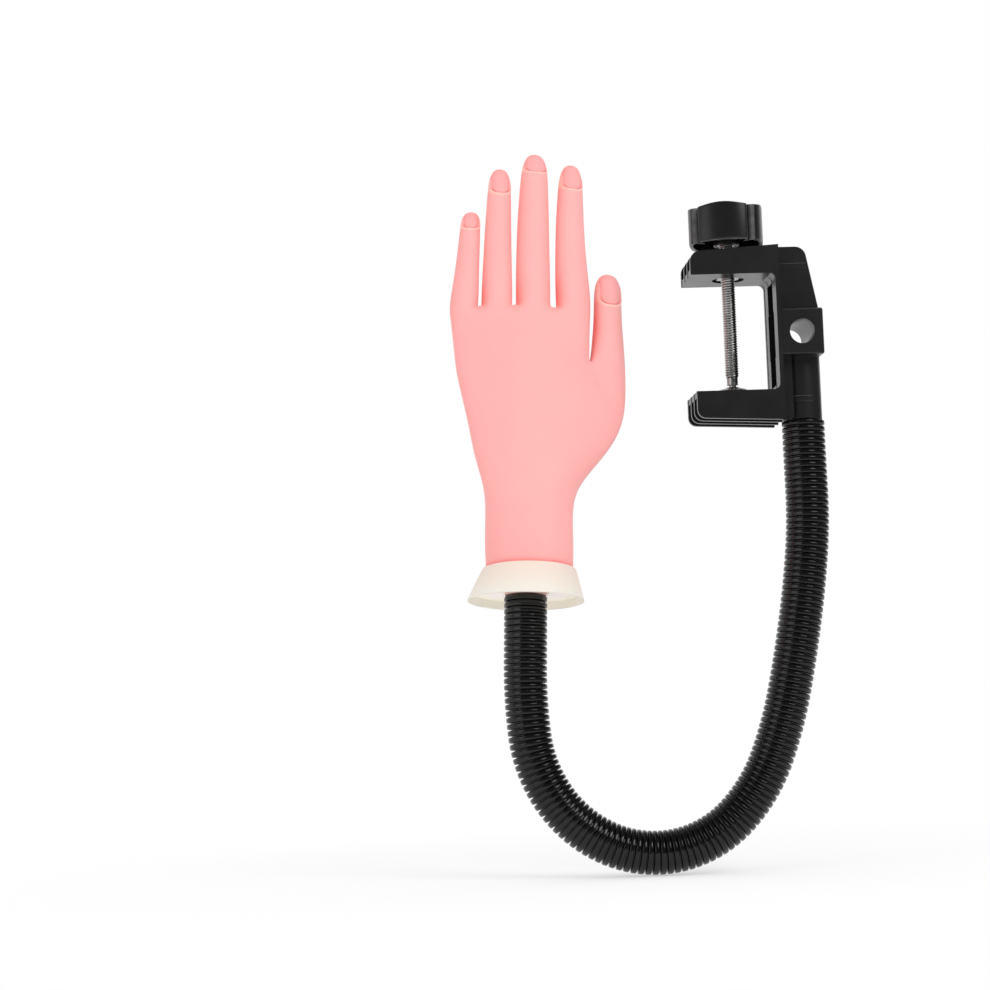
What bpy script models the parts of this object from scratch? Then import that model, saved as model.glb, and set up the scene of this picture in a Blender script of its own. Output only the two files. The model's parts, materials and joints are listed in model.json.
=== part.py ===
# Nail practice hand on a bendable arm with a table clamp
# Metres, Z up. The origin lies on the lower jaw's grip face, under the pressure pad.
# The back of the hand and its nails face -Y.
import math

import bmesh
import bpy
from mathutils import Matrix, Vector

# Clearances
fit_gap = 0.0003  # between touching pieces
link_gap = 0.0005  # between the rounded ends of two core links
thread_gap = 0.0003  # round the screw, on its radius
cut_overrun = 0.004  # how far a cutter reaches past the piece
join_overlap = 0.0003  # how far shapes joined into one body reach into each other
weld_distance = 0.00001  # points closer than this are one point

# Clamp frame
clamp_width = 0.0366
rib_thickness = 0.0026
rib_count = 4
web_thickness = 0.0032
web_set_back = 0.0002  # behind the ribs' edges at the tips and in the throat
throat_depth = 0.0212  # from the screw's axis to the column
column_depth = 0.0022  # of the outer ribs and of the webs beside them
column_bay_width = 0.0144  # open middle bay, between the webs
column_bay_depth = 0.0046
column_notch_width = 0.0168  # the bay where it passes the block
column_back_depth = 0.0032  # of the wall behind the bay
jaw_opening = 0.0590
lower_jaw_height = 0.0136  # at its tip
lower_jaw_taper = 0.0018  # how much deeper it is at the column
lower_jaw_reach = 0.0209
lower_jaw_tip_radius = 0.0042
upper_jaw_height = 0.0146
upper_jaw_reach = 0.0216
upper_tip_height = 0.0122
upper_tip_radius = 0.0052
throat_fillet = 0.0030
screw_boss_radius = 0.0078

# Arm socket, cross-bored block and fin on the clamp's back
socket_axis_x = 0.0352
socket_radius = 0.0098
socket_bore_radius = 0.0063
socket_drop = 0.0140  # socket's open end below the grip face
socket_bore_depth = 0.0280
block_depth = 0.0233
block_height = 0.0235
block_bottom = 0.0173
block_edge = 0.0010
cross_bore_radius = 0.0063
cross_bore_inset = 0.0016  # its axis lies this far in front of the socket's
fin_width = 0.0206
fin_height = 0.0328
fin_foot_reach = 0.0091  # behind the socket's axis, at the block
fin_head_reach = 0.0036  # behind the socket's axis, at the top
fin_radius = 0.0056
fin_slot_width = 0.0116
fin_slot_depth = 0.0080

# Clamping screw, its nut, knob and pressure pad
screw_radius = 0.0031
screw_way_radius = 0.0040  # through the upper jaw, above the nut
nut_across_flats = 0.0111
nut_height = 0.0055
nut_recess_radius = 0.0082
nut_recess_depth = 0.0010
knob_radius = 0.0192
knob_corner_swell = 0.0010  # a lobe's corners stand out over its middle
knob_valley_depth = 0.0046
knob_valley_power = 6  # the higher, the narrower the valleys
knob_lobes = 4
knob_turn = 98  # degrees from +X to the middle of a lobe
steps_per_lobe = 14
knob_height = 0.0180
knob_wall = 0.0022
knob_top = 0.0030
knob_edge = 0.0012
knob_crown = 0.0013
knob_crown_shares = (0.0, 0.35, 0.65, 1.0)  # of the crown's radius
knob_hub_radius = 0.0066
knob_stand_off = 0.0032  # over the upper jaw when the clamp is closed
knob_insert_radius = 0.0048
knob_insert_height = 0.0110
pad_radius = 0.0088
pad_rim = 0.0012
pad_dome = 0.0026
pad_shoulder_share = 0.72  # radius of the domed shoulder over the pad's
pad_neck_radius = 0.0034
pad_neck_height = 0.0034
pad_seat_radius = 0.0022
pad_seat_depth = 0.0020
screw_neck_top = 0.0100
stop_pin_radius = 0.0008
stop_pin_length = 0.0042
stop_pin_height = 0.0072

# Arm
link_length = 0.0345
ribs_per_link = 11
hose_crest_radius = 0.0106
hose_groove_radius = 0.0090
hose_bore_radius = 0.00805
core_radius = 0.0071
core_dome_shares = (0.0, 0.13, 0.24, 0.45)  # along the dome, as shares of the core's radius
core_dome_radius_shares = (0.10, 0.50, 0.80, 1.0)
core_steps = 4
rib_resolution = 2
bore_resolution = 1
arm_bends = (
    # kind, rest angle in degrees
    ("sway", 3.4),
    ("bend", 7.2),
    ("bend", 3.5),
    ("bend", 2.8),
    ("bend", 9.1),
    ("bend", 23.3),
    ("bend", 34.5),
    ("bend", 35.0),
    ("bend", 31.4),
    ("bend", 28.1),
    ("bend", 7.8),
    ("sway", -5.0),
)
ferrule_radius = 0.0060
ferrule_length = 0.0250
stud_collar_radius = 0.0060
stud_collar_length = 0.0090
stud_radius = 0.0040
stud_length = 0.0230
stud_nut_across_flats = 0.0130
stud_nut_height = 0.0065
washer_radius = 0.0080
washer_thickness = 0.0016

# Wrist end, heights above the cone's rim
hose_end_height = 0.0016
cone_rim_radius = 0.0295
cone_top_radius = 0.0243
cone_height = 0.0167
cone_wall = 0.0018
cone_web_height = 0.0040
cone_web_thickness = 0.0024
sleeve_radius = 0.0105
sleeve_collar_radius = 0.0130
sleeve_collar_height = 0.0021
plug_disc_radius = 0.0205
plug_disc_height = 0.0020
plug_radius = 0.0147
plug_length = 0.0290
plug_pocket_radius = 0.0095
plug_pocket_depth = 0.0150

# Hand
wrist_width = 0.0446
wrist_thickness = 0.0400
palm_width = 0.0710
palm_height = 0.1480  # from the cone's rim to the roots of the fingers
palm_back = 0.0125  # from the middle of the palm to its back
palm_front = 0.0135
web_rise = 0.0050
finger_flatness_share = 0.94  # thickness of a finger over its width
cage_swell_share = 1.08  # subdivision draws a ring of eight points inwards
palm_swell_share = 1.02
wrist_fit_share = 0.97  # the wrist's foot is drawn in a little over its disc
palm_square_share = 0.35  # how much squarer the palm is at the fingers than at the wrist
finger_curl = 0.0075  # how far a finger's tip lies in front of its root
palm_row_shares = (
    # height, left side, right side: shares of palm height and palm width
    # back, front: shares of the palm's back and front
    (0.200, -0.322, 0.322, 1.46, 1.46),
    (0.335, -0.305, 0.318, 1.36, 1.36),
    (0.415, -0.330, 0.385, 1.24, 1.32),
    (0.500, -0.385, 0.540, 1.12, 1.34),
    (0.590, -0.432, 0.650, 1.06, 1.38),
    (0.690, -0.468, 0.722, 1.02, 1.34),
    (0.765, -0.492, 0.600, 1.02, 1.22),
    (0.825, -0.512, 0.452, 1.02, 1.12),
    (0.905, -0.530, 0.452, 1.02, 1.04),
    (1.000, -0.545, 0.462, 0.92, 0.92),
)
thumb_patch_row = 5  # the lowest of the three palm rows that the thumb grows from
finger_root_shares = (-0.545, -0.450, -0.342, -0.214, -0.086, 0.052, 0.208, 0.336, 0.462)
fingers = {
    "little": {
        "reach": 0.0603,
        "root_x": -0.0319,
        "middle_x": -0.0302,
        "tip_x": -0.0285,
        "root_width": 0.0136,
        "middle_width": 0.0120,
        "nail_width": 0.0110,
    },
    "ring": {
        "reach": 0.0847,
        "root_x": -0.0153,
        "middle_x": -0.0148,
        "tip_x": -0.0135,
        "root_width": 0.0165,
        "middle_width": 0.0144,
        "nail_width": 0.0129,
    },
    "middle": {
        "reach": 0.0934,
        "root_x": 0.0036,
        "middle_x": 0.0041,
        "tip_x": 0.0056,
        "root_width": 0.0182,
        "middle_width": 0.0172,
        "nail_width": 0.0150,
    },
    "index": {
        "reach": 0.0878,
        "root_x": 0.0243,
        "middle_x": 0.0226,
        "tip_x": 0.0243,
        "root_width": 0.0172,
        "middle_width": 0.0154,
        "nail_width": 0.0134,
    },
}
finger_ring_shares = (
    # along the finger, then how much root, middle and nail width count there
    (0.15, 1.00, 0.00, 0.00),
    (0.40, 0.25, 0.75, 0.00),
    (0.60, 0.00, 0.75, 0.25),
    (0.80, 0.00, 0.00, 1.00),
    (0.925, 0.00, 0.00, 0.90),
)
finger_tip_share = 0.50  # width of the last ring over the nail's width
finger_tip_depth_share = 0.45
finger_tip_drop_share = 0.06  # height of the tip's dome over the nail's width
thumb_root_x = 0.0425
thumb_tip_x = 0.0427
thumb_tip_height = 0.1740
thumb_root_height = 0.1240
thumb_root_width = 0.0182
thumb_middle_width = 0.0150
thumb_nail_width = 0.0148
thumb_set_forward = 0.0040
thumb_ring_shares = (
    (0.10, 1.00, 0.00, 0.00),
    (0.45, 0.00, 1.00, 0.00),
    (0.72, 0.00, 0.00, 1.00),
    (0.90, 0.00, 0.00, 0.92),
)
nail_bed_depth = 0.0009
cuticle_thickness = 0.0004  # skin left over the slot that a nail tip slides into
cuticle_slot_reach = 0.0018  # below the cuticle's line
nail_bed_width_share = 0.76  # of the digit's nail width
nail_bed_offset_share = 0.05  # towards the thumb's side
nail_bed_core_rings = 4  # rings that the nail bed's floor is made from
nail_bed_lengths = {
    # from the cuticle's line to the tip
    "little": 0.0095,
    "ring": 0.0125,
    "middle": 0.0094,
    "index": 0.0139,
    "thumb": 0.0154,
}

round_sides = 48
small_sides = 32
pin_sides = 12
hexagon_sides = 6
palm_points = 20
finger_points = 8


def clear_scene():
    for old in list(bpy.data.objects):
        bpy.data.objects.remove(old, do_unlink=True)


def make_collection(name):
    made = bpy.data.collections.new(name)
    bpy.context.scene.collection.children.link(made)
    return made


def make_material(name, colour, roughness, metallic=0.0):
    made = bpy.data.materials.new(name)
    made.use_nodes = True
    shader = made.node_tree.nodes["Principled BSDF"]
    shader.inputs["Base Color"].default_value = (*colour, 1.0)
    shader.inputs["Roughness"].default_value = roughness
    shader.inputs["Metallic"].default_value = metallic
    return made


clear_scene()
parts = make_collection("nail_practice_hand")
cutters = make_collection("cutters")
cutters.hide_render = True

skin_pink = make_material("skin_pink", (0.93, 0.49, 0.47), 0.55)
cone_cream = make_material("cone_cream", (0.93, 0.84, 0.71), 0.40)
sleeve_rose = make_material("sleeve_rose", (0.55, 0.36, 0.33), 0.60)
plug_white = make_material("plug_white", (0.86, 0.80, 0.77), 0.50)
clamp_black = make_material("clamp_black", (0.016, 0.016, 0.016), 0.35)
hose_black = make_material("hose_black", (0.012, 0.012, 0.012), 0.40)
bright_steel = make_material("bright_steel", (0.62, 0.62, 0.62), 0.25, 1.0)
core_steel = make_material("core_steel", (0.35, 0.35, 0.36), 0.45, 1.0)


def link_mesh(name, mesh, material=None, parent=None, collection=parts):
    """Gives a mesh its object in a collection, under a parent at rest there."""
    made = bpy.data.objects.new(name, mesh)
    collection.objects.link(made)
    made.parent = parent
    if material:
        mesh.materials.clear()
        mesh.materials.append(material)
    if collection is cutters:
        made.hide_render = True
        made.display_type = "WIRE"
    return made


def shade_round(mesh, angle=35):
    mesh.shade_smooth()
    mesh.set_sharp_from_angle(angle=math.radians(angle))


def curve_to_mesh(curve_object):
    """The curve's solid as a mesh in its own space, with its caps welded on."""
    bpy.context.view_layer.update()
    graph = bpy.context.evaluated_depsgraph_get()
    mesh = bpy.data.meshes.new_from_object(curve_object.evaluated_get(graph))
    solid = bmesh.new()
    solid.from_mesh(mesh)
    bmesh.ops.remove_doubles(solid, verts=solid.verts, dist=weld_distance)
    bmesh.ops.recalc_face_normals(solid, faces=solid.faces)
    solid.to_mesh(mesh)
    solid.free()
    curve = curve_object.data
    bpy.data.objects.remove(curve_object, do_unlink=True)
    bpy.data.curves.remove(curve)
    return mesh


def tube_mesh(name, points, radii, resolution):
    """A tube along points, with a radius at each."""
    curve = bpy.data.curves.new(name + "_route", "CURVE")
    curve.dimensions = "3D"
    curve.bevel_depth = 1.0
    curve.bevel_resolution = resolution
    curve.use_fill_caps = True
    spline = curve.splines.new("POLY")
    spline.points.add(len(points) - 1)
    for knot, point, radius in zip(spline.points, points, radii):
        knot.co = (*point, 1.0)
        knot.radius = radius
    route = bpy.data.objects.new(name + "_route", curve)
    parts.objects.link(route)
    return curve_to_mesh(route)


def outline_mesh(name, outline, thickness):
    """A flat outline in XZ, made solid across Y."""
    curve = bpy.data.curves.new(name + "_outline", "CURVE")
    curve.dimensions = "2D"
    curve.fill_mode = "BOTH"
    curve.extrude = thickness / 2
    spline = curve.splines.new("POLY")
    spline.points.add(len(outline) - 1)
    for knot, (across, up) in zip(spline.points, outline):
        knot.co = (across, up, 0.0, 1.0)
    spline.use_cyclic_u = True
    flat = bpy.data.objects.new(name + "_outline", curve)
    parts.objects.link(flat)
    mesh = curve_to_mesh(flat)
    mesh.transform(Matrix.Rotation(math.radians(90), 4, "X"))
    return mesh


def turned(name, profile, material=None, parent=None, collection=parts, sides=round_sides):
    """A profile of radius and height, from the top down its outer side, turned round Z."""
    mesh = bpy.data.meshes.new(name)
    points = [(radius, 0.0, height) for radius, height in profile]
    count = len(points)
    edges = [(i, (i + 1) % count) for i in range(count)]
    if profile[0][0] == 0.0:
        edges = edges[:-1]
    mesh.from_pydata(points, edges, [])
    made = link_mesh(name, mesh, material, parent, collection)
    screw = made.modifiers.new("turn", "SCREW")
    screw.steps = sides
    screw.render_steps = sides
    screw.use_merge_vertices = True
    screw.merge_threshold = weld_distance
    screw.use_smooth_shade = True
    return made


def rod_mesh(name, radius, length, sides=small_sides):
    mesh = bpy.data.meshes.new(name)
    solid = bmesh.new()
    bmesh.ops.create_cone(
        solid, cap_ends=True, segments=sides, radius1=radius, radius2=radius, depth=length
    )
    solid.to_mesh(mesh)
    solid.free()
    shade_round(mesh)
    return mesh


def box_mesh(name, low, high):
    mesh = bpy.data.meshes.new(name)
    solid = bmesh.new()
    bmesh.ops.create_cube(solid, size=1.0)
    size = Vector(high) - Vector(low)
    middle = (Vector(high) + Vector(low)) / 2
    solid.transform(Matrix.Translation(middle) @ Matrix.Diagonal((*size, 1.0)))
    solid.to_mesh(mesh)
    solid.free()
    return mesh


def cutter(name, mesh, place=None, parent=None):
    made = link_mesh(name, mesh, parent=parent, collection=cutters)
    if place is not None:
        made.matrix_local = place
    return made


def join_or_cut(target, tool, operation):
    made = target.modifiers.new(tool.name, "BOOLEAN")
    made.operation = operation
    made.solver = "EXACT"
    made.object = tool


def cut(target, tool):
    join_or_cut(target, tool, "DIFFERENCE")


def join(target, tool):
    join_or_cut(target, tool, "UNION")


def arc(centre, radius, start, end, steps=5):
    """Points on an arc from start to end, in degrees."""
    turns = [math.radians(start + (end - start) * i / steps) for i in range(steps + 1)]
    return [(centre[0] + radius * math.cos(a), centre[1] + radius * math.sin(a)) for a in turns]


def hexagon_nut(name, across_flats, height, bore_radius, foot, parent=None):
    """A bored hexagon nut round its parent's Z, its lower face at the foot's height."""
    mesh = rod_mesh(name, across_flats / 2 / math.cos(math.radians(30)), height, hexagon_sides)
    made = link_mesh(name, mesh, bright_steel, parent)
    made.location = (0.0, 0.0, foot + height / 2)
    bore_mesh = rod_mesh(name + "_bore", bore_radius, height + cut_overrun)
    bore = cutter(name + "_bore", bore_mesh, parent=parent)
    bore.location = made.location
    cut(made, bore)


# Clamp frame

column_x = throat_depth
column_back_x = throat_depth + column_depth
upper_grip = jaw_opening
upper_top = jaw_opening + upper_jaw_height
block_top = block_bottom + block_height
fin_top = block_top + fin_height


def throat_corners(set_back=0.0):
    """The two rounded corners where the jaws meet the column, from the top down."""
    middle = column_x + set_back - throat_fillet
    return [
        *arc((middle, upper_grip - throat_fillet), throat_fillet, 90, 0),
        *arc((middle, throat_fillet), throat_fillet, 0, -90),
    ]


def rib_outline():
    """The C of one rib: two tapered jaws with rounded tips, and a slim column."""
    low_tip = lower_jaw_tip_radius
    low_middle = (-lower_jaw_reach + low_tip, -lower_jaw_height + low_tip)
    high_tip = upper_tip_radius
    high_middle = (-upper_jaw_reach + high_tip, upper_grip + upper_tip_height - high_tip)
    return [
        (-lower_jaw_reach, 0.0),
        *arc(low_middle, low_tip, 180, 270),
        (column_back_x, -lower_jaw_height - lower_jaw_taper),
        (column_back_x, upper_top),
        *arc(high_middle, high_tip, 90, 180),
        (-upper_jaw_reach, upper_grip),
        *throat_corners(),
    ]


def web_outline():
    """The thinner C that joins the ribs along the two grip faces and the column."""
    low_tip = web_set_back - lower_jaw_reach
    high_tip = web_set_back - upper_jaw_reach
    back = column_back_x - web_set_back
    return [
        (low_tip, 0.0),
        (low_tip, -web_thickness),
        (back, -web_thickness),
        (back, upper_grip + web_thickness),
        (high_tip, upper_grip + web_thickness),
        (high_tip, upper_grip),
        *throat_corners(web_set_back),
    ]


def rib_places():
    step = (clamp_width - rib_thickness) / (rib_count - 1)
    return [-(clamp_width - rib_thickness) / 2 + step * i for i in range(rib_count)]


def fin_outline():
    """The tapered fin over the block, rounded at its upper back corner."""
    foot = (socket_axis_x + fin_foot_reach, block_top - block_edge * 2)
    head = (socket_axis_x + fin_head_reach, fin_top)
    return [
        (column_back_x - join_overlap, foot[1]),
        foot,
        *arc((head[0] - fin_radius, head[1] - fin_radius), fin_radius, 10, 90),
        (column_back_x - join_overlap, fin_top),
    ]


def make_clamp_body():
    web_width = clamp_width - rib_thickness
    body = link_mesh(
        "clamp_body", outline_mesh("clamp_web", web_outline(), web_width), clamp_black
    )
    for number, place in enumerate(rib_places(), start=1):
        rib = cutter(f"clamp_rib_{number}", outline_mesh("clamp_rib", rib_outline(), rib_thickness))
        rib.location = (0.0, place, 0.0)
        join(body, rib)
    back_end = column_x + column_bay_depth + column_back_depth
    back = cutter(
        "column_back",
        box_mesh(
            "column_back",
            (column_back_x - join_overlap * 2, -fin_width / 2, -lower_jaw_height),
            (back_end, fin_width / 2, block_top),
        ),
    )
    join(body, back)
    fin = cutter("clamp_fin", outline_mesh("clamp_fin", fin_outline(), fin_width))
    join(body, fin)
    socket_height = socket_drop + block_bottom + block_edge
    socket = cutter("clamp_socket", rod_mesh("clamp_socket", socket_radius, socket_height))
    socket.location = (socket_axis_x, 0.0, socket_height / 2 - socket_drop)
    join(body, socket)
    block = cutter(
        "clamp_block",
        box_mesh(
            "clamp_block",
            (column_back_x - join_overlap, -clamp_width / 2 - block_edge / 4, block_bottom),
            (column_x + block_depth, clamp_width / 2 + block_edge / 4, block_top),
        ),
    )
    rounding = block.modifiers.new("edges", "BEVEL")
    rounding.width = block_edge
    rounding.segments = 2
    join(body, block)
    for name, width, foot, head in (
        ("column_bay", column_bay_width, web_thickness, upper_grip - web_thickness),
        ("column_notch", column_notch_width, block_bottom, block_top),
    ):
        bay = cutter(
            name,
            box_mesh(
                name,
                (column_x - cut_overrun, -width / 2, foot),
                (column_x + column_bay_depth, width / 2, head),
            ),
        )
        cut(body, bay)
    boss_height = upper_tip_height - web_thickness / 2
    boss = cutter("screw_boss", rod_mesh("screw_boss", screw_boss_radius, boss_height))
    boss.location = (0.0, 0.0, upper_grip + web_thickness / 2 + boss_height / 2)
    join(body, boss)

    bore_length = socket_bore_depth + cut_overrun
    bore = cutter("socket_bore", rod_mesh("socket_bore", socket_bore_radius, bore_length))
    bore.location = (socket_axis_x, 0.0, bore_length / 2 - cut_overrun - socket_drop)
    cut(body, bore)
    cross_length = clamp_width + cut_overrun * 2
    cross = cutter("cross_bore", rod_mesh("cross_bore", cross_bore_radius, cross_length))
    cross.rotation_euler = (math.radians(90), 0.0, 0.0)
    cross.location = (socket_axis_x - cross_bore_inset, 0.0, block_bottom + block_height / 2)
    cut(body, cross)
    screw_way = cutter(
        "screw_way",
        rod_mesh("screw_way", screw_way_radius, upper_jaw_height * 2),
    )
    screw_way.location = (0.0, 0.0, upper_grip + upper_jaw_height / 2)
    cut(body, screw_way)
    recess_height = nut_recess_depth + cut_overrun
    recess = cutter("nut_recess", rod_mesh("nut_recess", nut_recess_radius, recess_height))
    recess.location = (0.0, 0.0, upper_grip + nut_recess_depth - recess_height / 2)
    cut(body, recess)
    pocket_height = nut_height + nut_recess_depth + fit_gap * 2
    pocket_radius = (nut_across_flats / 2 + fit_gap) / math.cos(math.radians(30))
    pocket = cutter("nut_pocket", rod_mesh("nut_pocket", pocket_radius, pocket_height, hexagon_sides))
    pocket.location = (0.0, 0.0, upper_grip + pocket_height / 2)
    cut(body, pocket)
    slot = cutter(
        "fin_slot",
        box_mesh(
            "fin_slot",
            (column_back_x + fit_gap, -fin_slot_width / 2, fin_top - fin_slot_depth),
            (socket_axis_x + fin_foot_reach, fin_slot_width / 2, fin_top + cut_overrun),
        ),
    )
    cut(body, slot)


def make_jaw_nut():
    foot = upper_grip + nut_recess_depth / 2
    hexagon_nut("jaw_nut", nut_across_flats, nut_height, screw_radius + thread_gap, foot)


# Clamping screw, pad and knob: all turn on the screw's axis, at the origin's x and y

screw_foot = fit_gap * 2 + pad_neck_height - pad_seat_depth
knob_foot = upper_top + knob_stand_off
knob_head = knob_foot + knob_height


def make_pad():
    base = fit_gap
    turned(
        "pressure_pad",
        [
            (0.0, screw_foot - fit_gap),
            (pad_seat_radius + fit_gap, screw_foot - fit_gap),
            (pad_seat_radius + fit_gap, base + pad_neck_height),
            (pad_neck_radius, base + pad_neck_height),
            (pad_neck_radius, base + pad_dome + pad_rim / 2),
            (pad_radius * pad_shoulder_share, base + pad_dome),
            (pad_radius, base + pad_rim),
            (pad_radius, base),
            (0.0, base),
        ],
        bright_steel,
        screw_axis,
        sides=small_sides,
    )


def make_screw():
    screw = turned(
        "clamp_screw",
        [
            (0.0, knob_head - knob_top - fit_gap),
            (screw_radius, knob_head - knob_top - fit_gap),
            (screw_radius, screw_neck_top),
            (pad_seat_radius, screw_neck_top),
            (pad_seat_radius, screw_foot),
            (0.0, screw_foot),
        ],
        bright_steel,
        screw_axis,
        sides=small_sides,
    )
    hole_radius = stop_pin_radius + fit_gap / 2
    hole_length = pad_seat_radius * 2 + cut_overrun
    hole = cutter("pin_hole", rod_mesh("pin_hole", hole_radius, hole_length, pin_sides))
    hole.rotation_euler = (math.radians(90), 0.0, 0.0)
    hole.location = (0.0, 0.0, stop_pin_height)
    cut(screw, hole)
    pin = link_mesh(
        "stop_pin",
        rod_mesh("stop_pin", stop_pin_radius, stop_pin_length, pin_sides),
        bright_steel,
        screw_axis,
    )
    pin.rotation_euler = (math.radians(90), 0.0, 0.0)
    pin.location = (0.0, 0.0, stop_pin_height)


def knob_outline(inset):
    """Broad, nearly flat lobes with narrow valleys between them."""
    points = []
    steps = knob_lobes * steps_per_lobe
    for i in range(steps):
        turn = 2 * math.pi * i / steps
        wave = (1 - math.cos(knob_lobes * turn)) / 2
        valley = knob_valley_depth * wave**knob_valley_power
        radius = knob_radius - inset + knob_corner_swell * wave - valley
        place = turn - math.radians(knob_turn)
        points.append((radius * math.cos(place), radius * math.sin(place)))
    return points


def standing_outline_mesh(name, outline, height):
    """An outline in XY, made solid upwards from Z zero."""
    mesh = outline_mesh(name, outline, height)
    mesh.transform(Matrix.Rotation(math.radians(-90), 4, "X"))
    mesh.transform(Matrix.Translation((0.0, 0.0, height / 2)))
    return mesh


def make_knob():
    mesh = standing_outline_mesh("clamp_knob", knob_outline(0.0), knob_height)
    knob = link_mesh("clamp_knob", mesh, clamp_black, screw_axis)
    knob.location = (0.0, 0.0, knob_foot)
    rounding = knob.modifiers.new("edge", "BEVEL")
    rounding.width = knob_edge
    rounding.segments = 2
    rounding.limit_method = "ANGLE"
    rounding.angle_limit = math.radians(60)
    crown_radius = knob_radius - knob_valley_depth - knob_edge
    crown_profile = [
        (crown_radius * share, knob_head + knob_crown * (1 - share**2))
        for share in knob_crown_shares
    ]
    crown_foot = knob_head - knob_top / 2
    crown_profile += [(crown_radius, crown_foot), (0.0, crown_foot)]
    crown = turned("knob_crown", crown_profile, parent=screw_axis, collection=cutters)
    join(knob, crown)
    hollow_height = knob_height - knob_top + cut_overrun
    hollow = cutter(
        "knob_hollow",
        standing_outline_mesh("knob_hollow", knob_outline(knob_wall), hollow_height),
        parent=screw_axis,
    )
    hub = rod_mesh("knob_hub", knob_hub_radius, knob_height)
    hub_core = cutter("knob_hub", hub, parent=screw_axis)
    cut(hollow, hub_core)
    hollow.location = (0.0, 0.0, knob_foot - cut_overrun)
    hub_core.location = (0.0, 0.0, knob_foot + knob_height / 2)
    cut(knob, hollow)
    insert_radius = knob_insert_radius + fit_gap
    seat_height = knob_insert_height + fit_gap + cut_overrun
    seat = cutter("insert_seat", rod_mesh("insert_seat", insert_radius, seat_height), parent=screw_axis)
    seat.location = (0.0, 0.0, knob_foot + knob_insert_height + fit_gap - seat_height / 2)
    cut(knob, seat)
    way_height = knob_height - knob_top + cut_overrun
    way_radius = screw_radius + thread_gap
    way = cutter("knob_way", rod_mesh("knob_way", way_radius, way_height), parent=screw_axis)
    way.location = (0.0, 0.0, knob_foot - cut_overrun + way_height / 2)
    cut(knob, way)
    turned(
        "knob_insert",
        [
            (way_radius, knob_foot + knob_insert_height),
            (knob_insert_radius, knob_foot + knob_insert_height),
            (knob_insert_radius, knob_foot),
            (way_radius, knob_foot),
        ],
        bright_steel,
        screw_axis,
        sides=small_sides,
    )


# Arm: arcs of one link's length, each round one joint

class Bend:
    """One arc of the arm: where it starts, which way it runs, and the axis it turns round."""

    def __init__(self, start, along, axis, angle):
        self.start = start
        self.along = along
        self.axis = axis
        self.angle = angle

    def point(self, run):
        if self.angle == 0:
            return self.start + self.along * run
        radius = link_length / self.angle
        centre = self.start + self.axis.cross(self.along) * radius
        turn = Matrix.Rotation(self.angle * run / link_length, 3, self.axis)
        return centre + turn @ (self.start - centre)

    def direction(self, run):
        return Matrix.Rotation(self.angle * run / link_length, 3, self.axis) @ self.along

    def pivot(self):
        """Where the straight lines through the arc's two ends cross."""
        reach = link_length / 2
        if self.angle:
            reach = link_length * math.tan(self.angle / 2) / self.angle
        return self.start + self.along * reach


def lay_arm():
    """The arm's arcs, from the socket to the wrist."""
    start = Vector((socket_axis_x, 0.0, -socket_drop - fit_gap))
    along = Vector((0.0, 0.0, -1.0))
    plane = Vector((0.0, 1.0, 0.0))  # in-plane joints turn round this
    bends = []
    for kind, angle in arm_bends:
        axis = plane if kind == "bend" else along.cross(plane)
        axis = axis if kind == "bend" else -axis
        made = Bend(start.copy(), along.copy(), axis.copy(), math.radians(angle))
        turn = Matrix.Rotation(made.angle, 3, axis)
        start = made.point(link_length)
        along = turn @ along
        plane = turn @ plane
        bends.append(made)
    return bends, start, along, plane


bends, arm_end, arm_way, arm_plane = lay_arm()
arm_length = link_length * len(arm_bends)


def on_arm(run):
    """A point of the arm's middle line, a run away from the socket."""
    number = min(max(int(run / link_length), 0), len(bends) - 1)
    return bends[number].point(run - number * link_length)


def place_between(name, number):
    """An empty on a joint's pivot, to carry what moves with that joint."""
    made = bpy.data.objects.new(name, None)
    parts.objects.link(made)
    made.location = bends[number].pivot()
    return made


def link_runs():
    """Where each link starts and ends along the arm."""
    half = link_length / 2
    cuts = [0.0] + [half + link_length * i for i in range(len(bends))] + [arm_length]
    return list(zip(cuts[:-1], cuts[1:]))


def make_cover(name, start, end, parent):
    """One stretch of the corrugated hose, a crest and a groove for each rib."""
    pitch = link_length / ribs_per_link
    low = start + (fit_gap / 2 if start else 0.0)
    high = end - (fit_gap / 2 if end < arm_length else fit_gap)
    runs = [low]
    radii = [hose_crest_radius if start == 0.0 else hose_groove_radius]
    first = math.ceil(start / pitch * 2 + 0.5)
    last = math.floor(end / pitch * 2 - 0.5)
    for half_step in range(first, last + 1):
        runs.append(half_step * pitch / 2)
        radii.append(hose_groove_radius if half_step % 2 else hose_crest_radius)
    runs.append(high)
    radii.append(hose_crest_radius if end >= arm_length else hose_groove_radius)
    ribs = tube_mesh(name, [on_arm(run) for run in runs], radii, rib_resolution)
    cover = link_mesh(name, ribs, hose_black)
    steps = core_steps
    reach = (high - low) / steps
    bore_points = [on_arm(low + reach * i) for i in range(steps + 1)]
    first_way = (bore_points[0] - bore_points[1]).normalized() * cut_overrun
    last_way = (bore_points[-1] - bore_points[-2]).normalized() * cut_overrun
    bore_points = [bore_points[0] + first_way, *bore_points, bore_points[-1] + last_way]
    bore_radii = [hose_bore_radius] * len(bore_points)
    bore_mesh = tube_mesh(name + "_bore", bore_points, bore_radii, bore_resolution)
    cut(cover, cutter(name + "_bore", bore_mesh))
    seat_under(cover, parent)


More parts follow.
